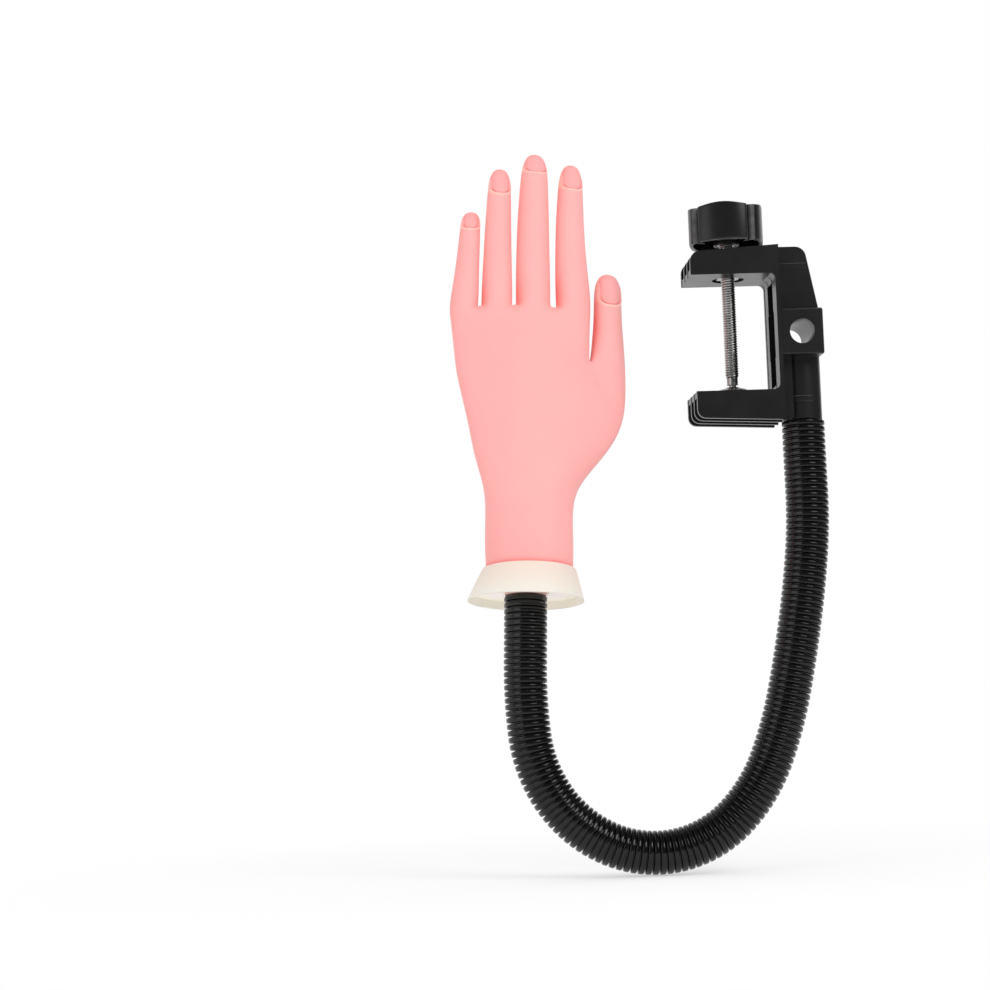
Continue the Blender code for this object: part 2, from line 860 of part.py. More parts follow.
def make_core(name, start, end, parent):
    """One link of the bendable core, with rounded ends where it meets its neighbours."""
    first_end = start == 0.0
    last_end = end >= arm_length
    low = start + (0.0 if first_end else link_gap / 2)
    high = end - (fit_gap if last_end else link_gap / 2)
    runs = []
    radii = []
    if first_end:
        runs.append(low)
        radii.append(core_radius)
    else:
        runs += [low + share * core_radius for share in core_dome_shares]
        radii += [share * core_radius for share in core_dome_radius_shares]
    inner_low = runs[-1]
    inner_high = high if last_end else high - core_dome_shares[-1] * core_radius
    steps = core_steps
    runs += [inner_low + (inner_high - inner_low) * i / steps for i in range(1, steps)]
    radii += [core_radius] * (steps - 1)
    if last_end:
        runs.append(high)
        radii.append(core_radius)
    else:
        runs += [high - share * core_radius for share in reversed(core_dome_shares)]
        radii += [share * core_radius for share in reversed(core_dome_radius_shares)]
    rod = tube_mesh(name, [on_arm(run) for run in runs], radii, bore_resolution)
    core = link_mesh(name, rod, core_steel)
    seat_under(core, parent)


def seat_under(piece, parent):
    """Hangs a piece modelled in world space under an empty, without moving it."""
    shade_round(piece.data)
    if parent is None:
        return
    piece.parent = parent
    piece.matrix_parent_inverse = Matrix.Translation(parent.location).inverted()


def make_arm():
    carriers = [None]
    for number in range(len(bends)):
        carriers.append(place_between(f"arm_pivot_{number + 1}", number))
    for number, (start, end) in enumerate(link_runs()):
        make_cover(f"hose_{number:02d}", start, end, carriers[number])
        make_core(f"core_{number:02d}", start, end, carriers[number])
    ferrule = turned(
        "socket_ferrule",
        [
            (0.0, ferrule_length),
            (ferrule_radius, ferrule_length),
            (ferrule_radius, 0.0),
            (0.0, 0.0),
        ],
        bright_steel,
        sides=small_sides,
    )
    ferrule.location = (socket_axis_x, 0.0, -socket_drop)


# Wrist end: everything is set out above the cone's rim, on the hand's own axis

def make_wrist_frame():
    """An empty at the middle of the cone's rim, its Z up the hand and its -Y at the nails."""
    made = bpy.data.objects.new("hand_frame", None)
    parts.objects.link(made)
    up = arm_way.normalized()
    across = arm_plane.cross(up).normalized()
    depth = up.cross(across)
    turn = Matrix((across, depth, up)).transposed().to_4x4()
    made.matrix_world = Matrix.Translation(arm_end - up * hose_end_height) @ turn
    return made


web_top = cone_web_height + cone_web_thickness
collar_foot = web_top + fit_gap
collar_head = collar_foot + sleeve_collar_height
plug_foot = collar_head + fit_gap
plug_head = plug_foot + plug_length
skin_foot = plug_foot + plug_disc_height + fit_gap
stud_foot = hose_end_height
pocket_floor = plug_head - plug_pocket_depth


def make_base_cone():
    slope = (cone_rim_radius - cone_top_radius) / cone_height

    def inside(height):
        return cone_rim_radius - slope * height - cone_wall

    turned(
        "base_cone",
        [
            (inside(cone_height), cone_height),
            (cone_top_radius, cone_height),
            (cone_rim_radius, 0.0),
            (inside(0.0), 0.0),
            (inside(cone_web_height), cone_web_height),
            (sleeve_radius + fit_gap, cone_web_height),
            (sleeve_radius + fit_gap, web_top),
            (inside(web_top), web_top),
        ],
        cone_cream,
        hand_frame,
    )


def make_neck_sleeve():
    bore = stud_collar_radius + fit_gap
    foot = hose_end_height + fit_gap
    turned(
        "neck_sleeve",
        [
            (bore, collar_head),
            (sleeve_collar_radius, collar_head),
            (sleeve_collar_radius, collar_foot),
            (sleeve_radius, collar_foot),
            (sleeve_radius, foot),
            (bore, foot),
        ],
        sleeve_rose,
        hand_frame,
        sides=small_sides,
    )


def make_wrist_plug():
    bore = stud_radius + fit_gap
    low_bore = stud_collar_radius + fit_gap
    shoulder = stud_foot + stud_collar_length + fit_gap
    turned(
        "wrist_plug",
        [
            (plug_pocket_radius, plug_head),
            (plug_radius, plug_head),
            (plug_radius, plug_foot + plug_disc_height),
            (plug_disc_radius, plug_foot + plug_disc_height),
            (plug_disc_radius, plug_foot),
            (low_bore, plug_foot),
            (low_bore, shoulder),
            (bore, shoulder),
            (bore, pocket_floor),
            (plug_pocket_radius, pocket_floor),
        ],
        plug_white,
        hand_frame,
        sides=small_sides,
    )


def make_stud():
    shoulder = stud_foot + stud_collar_length
    turned(
        "wrist_stud",
        [
            (0.0, shoulder + stud_length),
            (stud_radius, shoulder + stud_length),
            (stud_radius, shoulder),
            (stud_collar_radius, shoulder),
            (stud_collar_radius, stud_foot),
            (0.0, stud_foot),
        ],
        bright_steel,
        hand_frame,
        sides=small_sides,
    )
    turned(
        "wrist_washer",
        [
            (stud_radius + fit_gap, pocket_floor + fit_gap + washer_thickness),
            (washer_radius, pocket_floor + fit_gap + washer_thickness),
            (washer_radius, pocket_floor + fit_gap),
            (stud_radius + fit_gap, pocket_floor + fit_gap),
        ],
        bright_steel,
        hand_frame,
        sides=small_sides,
    )
    foot = pocket_floor + fit_gap * 2 + washer_thickness
    bore_radius = stud_radius + thread_gap
    hexagon_nut(
        "wrist_nut", stud_nut_across_flats, stud_nut_height, bore_radius, foot, hand_frame
    )


# Hand: a coarse cage of twenty-point palm rings and eight-point finger rings

def palm_ring(row, level):
    """Twenty points round the palm: nine on its back, one side, nine in front, one side."""
    height, left, right, back, front = row
    middle = (left + right) / 2
    half = (right - left) / 2
    points = []
    for i in range(palm_points):
        turn = math.radians(162 - 360 / palm_points * i)
        share = middle + half * math.cos(turn) * palm_swell_share
        if i < 9:
            spread = finger_root_shares[i]
        elif 10 <= i < 19:
            spread = finger_root_shares[18 - i]
        else:
            spread = right if i == 9 else left
        share += (spread - share) * level
        swell = math.sin(turn)
        swell = math.copysign(abs(swell) ** (1.0 - palm_square_share * level), swell)
        depth = -swell * palm_back * back if swell > 0 else -swell * palm_front * front
        points.append(Vector((share * palm_width, depth, height * palm_height)))
    return points


def finger_base(top, number):
    """The eight points of the palm's last ring that a finger grows from."""
    first = number * 2
    back = [top[first], top[first + 1], top[first + 2]]
    front = [top[18 - first - 2], top[18 - first - 1], top[18 - first]]
    right = webs[number + 1]
    left = webs[number]
    return [back[0], back[1], back[2], right, front[0], front[1], front[2], left]


def finger_ring(cage, centre, width, thickness):
    """Eight points round a finger, the first at its back and left."""
    ring = []
    for i in range(finger_points):
        turn = math.radians(135 - 360 / finger_points * i)
        across = math.cos(turn) * width / 2 * cage_swell_share
        depth = -math.sin(turn) * thickness / 2 * cage_swell_share
        ring.append(cage.verts.new(centre + Vector((across, depth, 0.0))))
    return ring


def bridge(cage, lower, upper):
    count = len(lower)
    for i in range(count):
        j = (i + 1) % count
        cage.faces.new((lower[i], lower[j], upper[j], upper[i]))


def close_tip(cage, ring, tip):
    peak = cage.verts.new(tip)
    for i in range(0, finger_points, 2):
        cage.faces.new((ring[i], ring[i + 1], ring[(i + 2) % finger_points], peak))


def finger_rings(size):
    """Centre, width and thickness of each ring from a finger's root to its tip."""
    rings = []
    for along, root, middle, nail in finger_ring_shares:
        width = root * size["root_width"] + middle * size["middle_width"] + nail * size["nail_width"]
        if along < 0.5:
            blend = along * 2
            across = size["root_x"] * (1 - blend) + size["middle_x"] * blend
        else:
            blend = along * 2 - 1
            across = size["middle_x"] * (1 - blend) + size["tip_x"] * blend
        centre = Vector((across, finger_curl * along**2, palm_height + size["reach"] * along))
        rings.append((centre, width, width * finger_flatness_share))
    tip = Vector((size["tip_x"], finger_curl, palm_height + size["reach"]))
    return [*rings, tip_ring(tip, size["nail_width"])]


def thumb_rings():
    rings = []
    rise = thumb_tip_height - thumb_root_height
    for along, root, middle, nail in thumb_ring_shares:
        width = root * thumb_root_width + middle * thumb_middle_width + nail * thumb_nail_width
        across = thumb_root_x + (thumb_tip_x - thumb_root_x) * along
        centre = Vector((across, thumb_set_forward, thumb_root_height + rise * along))
        rings.append((centre, width, width * finger_flatness_share))
    tip = Vector((thumb_tip_x, thumb_set_forward, thumb_tip_height))
    return [*rings, tip_ring(tip, thumb_nail_width)]


def tip_ring(tip, nail_width):
    drop = Vector((0.0, 0.0, nail_width * finger_tip_drop_share))
    return tip - drop, nail_width * finger_tip_share, nail_width * finger_tip_depth_share


def grow_digit(cage, base, rings, tip_drop):
    below = base
    for centre, width, thickness in rings:
        ring = finger_ring(cage, centre, width, thickness)
        bridge(cage, below, ring)
        below = ring
    close_tip(cage, below, rings[-1][0] + Vector((0.0, 0.0, tip_drop)))


webs = []


def hand_cage():
    cage = bmesh.new()
    wrist_share = wrist_width / palm_width / 2 * wrist_fit_share
    back_share = wrist_thickness / 2 / palm_back
    front_share = wrist_thickness / 2 / palm_front
    foot = (skin_foot / palm_height, -wrist_share, wrist_share, back_share, front_share)
    rows = [foot, *palm_row_shares]
    rings = []
    for number, row in enumerate(rows):
        level = max(0.0, (number - 5) / (len(rows) - 6))
        rings.append([cage.verts.new(point) for point in palm_ring(row, level)])
    patch = thumb_patch_row + 1
    for number, (lower, upper) in enumerate(zip(rings[:-1], rings[1:])):
        for i in range(palm_points):
            if patch <= number < patch + 2 and i in (8, 9):
                continue
            j = (i + 1) % palm_points
            cage.faces.new((lower[i], lower[j], upper[j], upper[i]))
    low, middle, high = rings[patch], rings[patch + 1], rings[patch + 2]
    cage.verts.remove(middle[9])
    thumb_base = [high[8], middle[8], low[8], low[9], low[10], middle[10], high[10], high[9]]
    grow_digit(cage, thumb_base, thumb_rings(), thumb_nail_width * finger_tip_drop_share)
    top = rings[-1]
    webs.append(top[19])
    for number in range(1, 4):
        back = top[number * 2].co
        front = top[18 - number * 2].co
        lift = Vector((0.0, 0.0, web_rise))
        webs.append(cage.verts.new((back + front) / 2 + lift))
    webs.append(top[9])
    for number, size in enumerate(fingers.values()):
        tip_drop = size["nail_width"] * finger_tip_drop_share
        grow_digit(cage, finger_base(top, number), finger_rings(size), tip_drop)
    cage.faces.new(list(reversed(rings[0])))
    crease = cage.edges.layers.float.new("crease_edge")
    for i in range(palm_points):
        edge = cage.edges.get((rings[0][i], rings[0][(i + 1) % palm_points]))
        edge[crease] = 1.0
    bmesh.ops.recalc_face_normals(cage, faces=cage.faces)
    return cage


def digit_core(name, rings, inset):
    """A closed copy of a digit's upper end, drawn in by an inset all round."""
    cage = bmesh.new()
    below = None
    for centre, width, thickness in rings:
        lowered = centre - Vector((0.0, 0.0, inset)) if centre is rings[-1][0] else centre
        ring = finger_ring(cage, lowered, width - inset * 2, thickness - inset * 2)
        if below:
            bridge(cage, below, ring)
        else:
            cage.faces.new(list(reversed(ring)))
        below = ring
    close_tip(cage, below, rings[-1][0] + Vector((0.0, 0.0, rings[-1][1] / 8 - inset)))
    bmesh.ops.recalc_face_normals(cage, faces=cage.faces)
    mesh = bpy.data.meshes.new(name)
    cage.to_mesh(mesh)
    cage.free()
    core = cutter(name, mesh, parent=hand_frame)
    soft = core.modifiers.new("soft", "SUBSURF")
    soft.levels = 1
    soft.render_levels = 1
    return core


def nail_outline(centre_x, foot, head, width):
    """Straight sides over a round cuticle."""
    half = width / 2
    return [
        *arc((centre_x, foot + half), half, 180, 360, steps=8),
        (centre_x + half, head),
        (centre_x - half, head),
    ]


def nail_prism(name, outline, start_y, depth):
    """A nail's outline made solid from near the digit's middle to past its back."""
    mesh = outline_mesh(name, outline, depth)
    mesh.transform(Matrix.Translation((0.0, start_y - depth / 2, 0.0)))
    return cutter(name, mesh, parent=hand_frame)


def cut_nail_bed(skin, digit, rings, nail_width):
    """A recessed bed open at the tip, its floor running on under the cuticle as a slot."""
    tip = rings[-1][0]
    across = tip.x + nail_width * nail_bed_offset_share
    foot = tip.z - nail_bed_lengths[digit]
    head = tip.z + cut_overrun
    width = nail_width * nail_bed_width_share
    core_rings = rings[-nail_bed_core_rings:]
    bed_outline = nail_outline(across, foot, head, width)
    bed_start = tip.y - nail_bed_depth
    bed = nail_prism(f"{digit}_nail_bed", bed_outline, bed_start, nail_width)
    slot_foot = foot - cuticle_slot_reach
    slot_head = foot + width / 2 + cuticle_thickness
    slot_outline = nail_outline(across, slot_foot, slot_head, width + cuticle_slot_reach)
    slot_start = bed_start - cuticle_thickness
    slot = nail_prism(f"{digit}_cuticle_slot", slot_outline, slot_start, nail_width)
    join_or_cut(slot, digit_core(f"{digit}_cuticle", core_rings, cuticle_thickness), "INTERSECT")
    join(bed, slot)
    cut(bed, digit_core(f"{digit}_nail_floor", core_rings, nail_bed_depth))
    cut(skin, bed)


def make_hand_skin():
    mesh = bpy.data.meshes.new("hand_skin")
    cage = hand_cage()
    cage.to_mesh(mesh)
    cage.free()
    skin = link_mesh("hand_skin", mesh, skin_pink, hand_frame)
    soft = skin.modifiers.new("soft", "SUBSURF")
    soft.levels = 1
    soft.render_levels = 1
    cavity_height = plug_head - skin_foot + fit_gap + cut_overrun
    cavity = cutter(
        "wrist_cavity",
        rod_mesh("wrist_cavity", plug_radius + fit_gap, cavity_height),
        parent=hand_frame,
    )
    cavity.location = (0.0, 0.0, plug_head + fit_gap - cavity_height / 2)
    cut(skin, cavity)
    for digit, size in fingers.items():
        cut_nail_bed(skin, digit, finger_rings(size), size["nail_width"])
    cut_nail_bed(skin, "thumb", thumb_rings(), thumb_nail_width)
    mesh.shade_smooth()


screw_axis = bpy.data.objects.new("screw_axis", None)
parts.objects.link(screw_axis)
hand_frame = make_wrist_frame()
bpy.context.view_layer.update()

make_clamp_body()
make_jaw_nut()
make_pad()
make_screw()
make_knob()
make_arm()
make_base_cone()
make_neck_sleeve()
make_wrist_plug()
make_stud()
make_hand_skin()
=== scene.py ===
import json
import math

import bmesh
import bpy
import numpy as np
from mathutils import Matrix, Vector


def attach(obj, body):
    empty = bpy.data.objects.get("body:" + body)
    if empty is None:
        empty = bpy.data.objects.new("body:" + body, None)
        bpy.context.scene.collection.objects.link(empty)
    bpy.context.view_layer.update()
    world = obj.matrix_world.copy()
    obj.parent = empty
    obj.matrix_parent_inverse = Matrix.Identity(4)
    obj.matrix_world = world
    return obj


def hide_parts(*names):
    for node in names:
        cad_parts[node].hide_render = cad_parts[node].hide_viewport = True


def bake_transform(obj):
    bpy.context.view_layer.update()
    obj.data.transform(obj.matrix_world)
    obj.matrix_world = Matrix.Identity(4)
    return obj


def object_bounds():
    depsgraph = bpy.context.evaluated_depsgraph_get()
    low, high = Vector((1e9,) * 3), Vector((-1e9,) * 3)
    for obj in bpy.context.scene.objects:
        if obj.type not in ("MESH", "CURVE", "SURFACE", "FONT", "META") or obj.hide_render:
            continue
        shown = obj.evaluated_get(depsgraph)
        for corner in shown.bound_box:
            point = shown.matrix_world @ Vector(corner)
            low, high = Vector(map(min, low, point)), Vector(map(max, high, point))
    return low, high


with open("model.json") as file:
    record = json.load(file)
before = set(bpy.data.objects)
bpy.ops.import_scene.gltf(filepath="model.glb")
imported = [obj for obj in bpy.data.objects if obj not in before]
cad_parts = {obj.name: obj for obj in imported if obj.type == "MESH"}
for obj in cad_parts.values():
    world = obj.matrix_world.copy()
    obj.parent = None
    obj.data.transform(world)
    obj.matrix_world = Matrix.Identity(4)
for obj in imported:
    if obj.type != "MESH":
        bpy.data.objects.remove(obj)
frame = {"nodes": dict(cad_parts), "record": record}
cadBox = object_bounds()
cadNodes = frame["nodes"]
nodeBody = {
    node: body for body, members in frame["record"]["behaviour"]["bodies"].items() for node in members
}
print("frame loaded with", len(cadNodes), "nodes")

studio = {
    "cameraPlace": (-0.18194, -1.12673, -0.14905),
    "cameraYaw": 2.999,  # degrees to the right of +Y
    "cameraPitch": 5.151,
    "cameraRoll": -2.036,
    "lens": 81.77,
    "ambient": 0.80,
    "flagWay": (0.45, -0.80, 0.40),  # a dark card stands this way, seen only in reflections
    "flagEdges": (-0.45, 0.15),
    "flagShade": 0.09,
    "lampSize": 0.9,
    "lampTarget": (-0.03, 0, -0.05),
    "keyPlace": (0.75, -1.05, 0.85),
    "keyPower": 9.0,
    "fillPlace": (-1.1, -0.8, 0.25),
    "fillPower": 3.0,
    "floorDrop": 0.0006,
    "floorRadius": 6.0,
    "shadowReach": 0.45,  # the floor turns plain white this far from the object
    "shadowShare": 0.5,
}


# Camera, world and lamps

def makeCamera():
    yaw = math.radians(studio["cameraYaw"])
    pitch = math.radians(studio["cameraPitch"])
    ahead = Vector((math.sin(yaw) * math.cos(pitch), math.cos(yaw) * math.cos(pitch), math.sin(pitch)))
    data = bpy.data.cameras.new("photoCamera")
    data.lens = studio["lens"]
    data.clip_start = 0.01
    camera = bpy.data.objects.new("photoCamera", data)
    bpy.context.collection.objects.link(camera)
    turn = ahead.to_track_quat("-Z", "Y").to_matrix().to_4x4()
    roll = Matrix.Rotation(math.radians(studio["cameraRoll"]), 4, "Z")
    camera.matrix_world = Matrix.Translation(studio["cameraPlace"]) @ turn @ roll
    bpy.context.scene.camera = camera


def addNode(tree, kind, **settings):
    # settings whose name is an input's go to that input, the rest to the node itself
    made = tree.nodes.new(kind)
    for name, value in settings.items():
        if hasattr(made, name):
            setattr(made, name, value)
        else:
            made.inputs[name.replace("_", " ")].default_value = value
    return made


def makeWorld():
    world = bpy.data.worlds.new("whiteRoom")
    bpy.context.scene.world = world
    world.use_nodes = True
    tree = world.node_tree
    tree.nodes.clear()
    rays = addNode(tree, "ShaderNodeLightPath")
    seen = addNode(tree, "ShaderNodeMath", operation="ADD")
    seenAll = addNode(tree, "ShaderNodeMath", operation="ADD", use_clamp=True)
    tree.links.new(rays.outputs["Is Camera Ray"], seen.inputs[0])
    tree.links.new(rays.outputs["Is Glossy Ray"], seen.inputs[1])
    tree.links.new(seen.outputs[0], seenAll.inputs[0])
    tree.links.new(rays.outputs["Is Transmission Ray"], seenAll.inputs[1])
    strength = addNode(tree, "ShaderNodeMapRange")
    strength.inputs["To Min"].default_value = studio["ambient"]
    strength.inputs["To Max"].default_value = 1.0
    tree.links.new(seenAll.outputs[0], strength.inputs["Value"])
    way = addNode(tree, "ShaderNodeTexCoord")
    towards = addNode(tree, "ShaderNodeVectorMath", operation="DOT_PRODUCT")
    towards.inputs[1].default_value = studio["flagWay"]
    tree.links.new(way.outputs["Generated"], towards.inputs[0])
    flag = addNode(tree, "ShaderNodeMapRange", interpolation_type="SMOOTHSTEP")
    flag.inputs["From Min"].default_value, flag.inputs["From Max"].default_value = studio["flagEdges"]
    flag.inputs["To Min"].default_value = 0.0
    flag.inputs["To Max"].default_value = 1 - studio["flagShade"]
    tree.links.new(towards.outputs["Value"], flag.inputs["Value"])
    reflected = addNode(tree, "ShaderNodeMath", operation="MULTIPLY")
    tree.links.new(flag.outputs["Result"], reflected.inputs[0])
    tree.links.new(rays.outputs["Is Glossy Ray"], reflected.inputs[1])
    left = addNode(tree, "ShaderNodeMath", operation="SUBTRACT")
    tree.links.new(strength.outputs["Result"], left.inputs[0])
    tree.links.new(reflected.outputs[0], left.inputs[1])
    background = addNode(tree, "ShaderNodeBackground")
    background.inputs["Color"].default_value = (1, 1, 1, 1)
    tree.links.new(left.outputs[0], background.inputs["Strength"])
    out = addNode(tree, "ShaderNodeOutputWorld")
    tree.links.new(background.outputs[0], out.inputs["Surface"])


def makeLamp(name, place, power):
    target = studio["lampTarget"]
    data = bpy.data.lights.new(name, "AREA")
    data.shape = "DISK"
    data.size = studio["lampSize"]
    data.energy = power
    lamp = bpy.data.objects.new(name, data)
    lamp.location = place
    lamp.rotation_euler = (Vector(target) - Vector(place)).to_track_quat("-Z", "Y").to_euler()
    bpy.context.collection.objects.link(lamp)


def makeFloor():
    low = cadBox[0]
    centre = (cadBox[0] + cadBox[1]) / 2
    mesh = bpy.data.meshes.new("floor")
    solid = bmesh.new()
    bmesh.ops.create_circle(solid, cap_ends=True, segments=96, radius=studio["floorRadius"])
    solid.to_mesh(mesh)
    solid.free()
    floor = bpy.data.objects.new("floor", mesh)
    floor.location = (centre.x, centre.y, low.z - studio["floorDrop"])
    bpy.context.collection.objects.link(floor)
    material = bpy.data.materials.new("paleFloor")
    material.use_nodes = True
    tree = material.node_tree
    tree.nodes.clear()
    place = addNode(tree, "ShaderNodeTexCoord")
    away = addNode(tree, "ShaderNodeVectorMath", operation="LENGTH")
    tree.links.new(place.outputs["Object"], away.inputs[0])
    fade = addNode(tree, "ShaderNodeMapRange", interpolation_type="SMOOTHSTEP")
    fade.inputs["From Max"].default_value = studio["shadowReach"]
    fade.inputs["To Min"].default_value = 1 - studio["shadowShare"]
    fade.inputs["To Max"].default_value = 1.0
    tree.links.new(away.outputs["Value"], fade.inputs["Value"])
    plain = addNode(tree, "ShaderNodeBsdfDiffuse")
    plain.inputs["Color"].default_value = (0.95, 0.95, 0.95, 1)
    glow = addNode(tree, "ShaderNodeEmission")
    rays = addNode(tree, "ShaderNodeLightPath")
    seen = addNode(tree, "ShaderNodeMath", operation="ADD", use_clamp=True)
    tree.links.new(rays.outputs["Is Camera Ray"], seen.inputs[0])
    tree.links.new(rays.outputs["Is Glossy Ray"], seen.inputs[1])
    share = addNode(tree, "ShaderNodeMath", operation="MULTIPLY")
    tree.links.new(seen.outputs[0], share.inputs[0])
    tree.links.new(fade.outputs["Result"], share.inputs[1])
    mix = addNode(tree, "ShaderNodeMixShader")
    tree.links.new(share.outputs[0], mix.inputs[0])
    tree.links.new(plain.outputs[0], mix.inputs[1])
    tree.links.new(glow.outputs[0], mix.inputs[2])
    out = addNode(tree, "ShaderNodeOutputMaterial")
    tree.links.new(mix.outputs[0], out.inputs["Surface"])
    mesh.materials.append(material)


bpy.context.scene.view_settings.view_transform = "Standard"
makeCamera()
makeWorld()
makeLamp("keyLamp", studio["keyPlace"], studio["keyPower"])
makeLamp("fillLamp", studio["fillPlace"], studio["fillPower"])
makeFloor()
print("camera, lamps and floor placed")


# Shader groups shared by the finishes

def newGroup(name, inputs, outputs):
    group = bpy.data.node_groups.new(name, "ShaderNodeTree")
    for socket, kind, value in inputs:
        made = group.interface.new_socket(name=socket, in_out="INPUT", socket_type=kind)
        if value is not None:
            made.default_value = value
    for socket, kind in outputs:
        group.interface.new_socket(name=socket, in_out="OUTPUT", socket_type=kind)
    return group, group.nodes.new("NodeGroupInput"), group.nodes.new("NodeGroupOutput")


def makeGrainGroup():
    # fine moulded grain: a height for bumps and a mask that shifts roughness
    group, given, result = newGroup(
        "mouldedGrain",
        [("Scale", "NodeSocketFloat", 900.0), ("Softness", "NodeSocketFloat", 0.6)],
        [("Height", "NodeSocketFloat"), ("Mask", "NodeSocketFloat")],
    )
    place = addNode(group, "ShaderNodeTexCoord")
    fine = addNode(group, "ShaderNodeTexNoise", Detail=3.0)
    group.links.new(place.outputs["Object"], fine.inputs["Vector"])
    group.links.new(given.outputs["Scale"], fine.inputs["Scale"])
    group.links.new(given.outputs["Softness"], fine.inputs["Roughness"])
    slow = addNode(group, "ShaderNodeMath", operation="MULTIPLY")
    slow.inputs[1].default_value = 0.06
    group.links.new(given.outputs["Scale"], slow.inputs[0])
    broad = addNode(group, "ShaderNodeTexNoise", Detail=4.0)
    group.links.new(place.outputs["Object"], broad.inputs["Vector"])
    group.links.new(slow.outputs[0], broad.inputs["Scale"])
    group.links.new(fine.outputs["Fac"], result.inputs["Height"])
    group.links.new(broad.outputs["Fac"], result.inputs["Mask"])
    return group


def makeMottleGroup():
    # a slow drift between two tints of one colour
    group, given, result = newGroup(
        "tintDrift",
        [
            ("Scale", "NodeSocketFloat", 18.0),
            ("Tint", "NodeSocketColor", (1, 1, 1, 1)),
            ("Other Tint", "NodeSocketColor", (1, 1, 1, 1)),
        ],
        [("Color", "NodeSocketColor"), ("Mask", "NodeSocketFloat")],
    )
    place = addNode(group, "ShaderNodeTexCoord")
    drift = addNode(group, "ShaderNodeTexNoise", Detail=3.0, Roughness=0.55)
    group.links.new(place.outputs["Object"], drift.inputs["Vector"])
    group.links.new(given.outputs["Scale"], drift.inputs["Scale"])
    spread = addNode(group, "ShaderNodeMapRange", interpolation_type="SMOOTHSTEP")
    spread.inputs["From Min"].default_value = 0.3
    spread.inputs["From Max"].default_value = 0.7
    group.links.new(drift.outputs["Fac"], spread.inputs["Value"])
    mix = addNode(group, "ShaderNodeMix", data_type="RGBA")
    group.links.new(spread.outputs["Result"], mix.inputs["Factor"])
    group.links.new(given.outputs["Tint"], mix.inputs["A"])
    group.links.new(given.outputs["Other Tint"], mix.inputs["B"])
    group.links.new(mix.outputs["Result"], result.inputs["Color"])
    group.links.new(spread.outputs["Result"], result.inputs["Mask"])
    return group


def makeHighlightGroup():
    # painted highlight: the mesh's own mask of its edges, with noise that breaks the line up
    group, given, result = newGroup(
        "paintedEdgeHighlight",
        [("Least", "NodeSocketFloat", 0.6), ("Most", "NodeSocketFloat", 1.0)],
        [("Mask", "NodeSocketFloat")],
    )
    edge = addNode(group, "ShaderNodeAttribute", attribute_name="paintedHighlightMask")
    place = addNode(group, "ShaderNodeTexCoord")
    noise = addNode(group, "ShaderNodeTexNoise", Scale=260.0, Detail=4.0)
    group.links.new(place.outputs["Object"], noise.inputs["Vector"])
    ramp = addNode(group, "ShaderNodeMapRange")
    ramp.inputs["From Min"].default_value = 0.35
    ramp.inputs["From Max"].default_value = 0.65
    group.links.new(noise.outputs["Fac"], ramp.inputs["Value"])
    group.links.new(given.outputs["Least"], ramp.inputs["To Min"])
    group.links.new(given.outputs["Most"], ramp.inputs["To Max"])
    broken = addNode(group, "ShaderNodeMath", operation="MULTIPLY")
    group.links.new(edge.outputs["Fac"], broken.inputs[0])
    group.links.new(ramp.outputs["Result"], broken.inputs[1])
    group.links.new(broken.outputs[0], result.inputs["Mask"])
    return group


grainGroup = makeGrainGroup()
mottleGroup = makeMottleGroup()
highlightGroup = makeHighlightGroup()


# Finishes

finishes = {
    "softVinyl": {
        "tint": (0.955, 0.425, 0.405), "otherTint": (0.935, 0.400, 0.385), "drift": 16.0,
        "roughness": (0.50, 0.60), "grain": 1100.0, "bump": 0.05, "subsurface": 0.20,
        "reach": (1.0, 0.28, 0.20), "depth": 0.0035, "specular": 0.22,
    },
    "creamPlastic": {
        "tint": (0.790, 0.720, 0.640), "otherTint": (0.765, 0.720, 0.650), "drift": 30.0,
        "roughness": (0.48, 0.60), "grain": 700.0, "bump": 0.04, "subsurface": 0.45,
        "reach": (1.0, 0.85, 0.6), "depth": 0.005, "specular": 0.20,
    },
    "palePlastic": {
        "tint": (0.920, 0.840, 0.840), "otherTint": (0.880, 0.800, 0.800), "drift": 40.0,
        "roughness": (0.42, 0.55), "grain": 800.0, "bump": 0.05, "subsurface": 0.15,
        "reach": (1.0, 0.6, 0.5), "depth": 0.002, "specular": 0.35,
    },
    "roseRubber": {
        "tint": (0.680, 0.450, 0.400), "otherTint": (0.600, 0.380, 0.340), "drift": 60.0,
        "roughness": (0.55, 0.70), "grain": 900.0, "bump": 0.08, "subsurface": 0.05,
        "reach": (1.0, 0.4, 0.3), "depth": 0.001, "specular": 0.30,
    },
    "blackPlastic": {
        "tint": (0.0070, 0.0070, 0.0072), "otherTint": (0.0094, 0.0094, 0.0096), "drift": 35.0,
        "roughness": (0.24, 0.36), "grain": 1400.0, "bump": 0.06, "specular": 0.34,
        # painted highlight along the edges: its tint and its strength
        "highlightTint": (0.260, 0.260, 0.262), "highlight": (0.55, 1.0),
    },
    "hosePlastic": {
        "tint": (0.0035, 0.0035, 0.0037), "otherTint": (0.0055, 0.0055, 0.0057), "drift": 50.0,
        "roughness": (0.10, 0.18), "grain": 1200.0, "bump": 0.02, "specular": 0.34,
    },
    "platedSteel": {
        "tint": (0.330, 0.328, 0.322), "otherTint": (0.230, 0.230, 0.230), "drift": 90.0,
        "roughness": (0.18, 0.34), "grain": 1800.0, "bump": 0.05, "metallic": 1.0,
        # painted highlight along the edges and the thread's crests: its tint and its strength
        "highlightTint": (0.72, 0.72, 0.71), "highlight": (0.65, 1.0),
    },
    "woundSteel": {
        "tint": (0.330, 0.330, 0.340), "otherTint": (0.240, 0.240, 0.245), "drift": 70.0,
        "roughness": (0.35, 0.50), "grain": 1500.0, "bump": 0.08, "metallic": 1.0,
    },
}


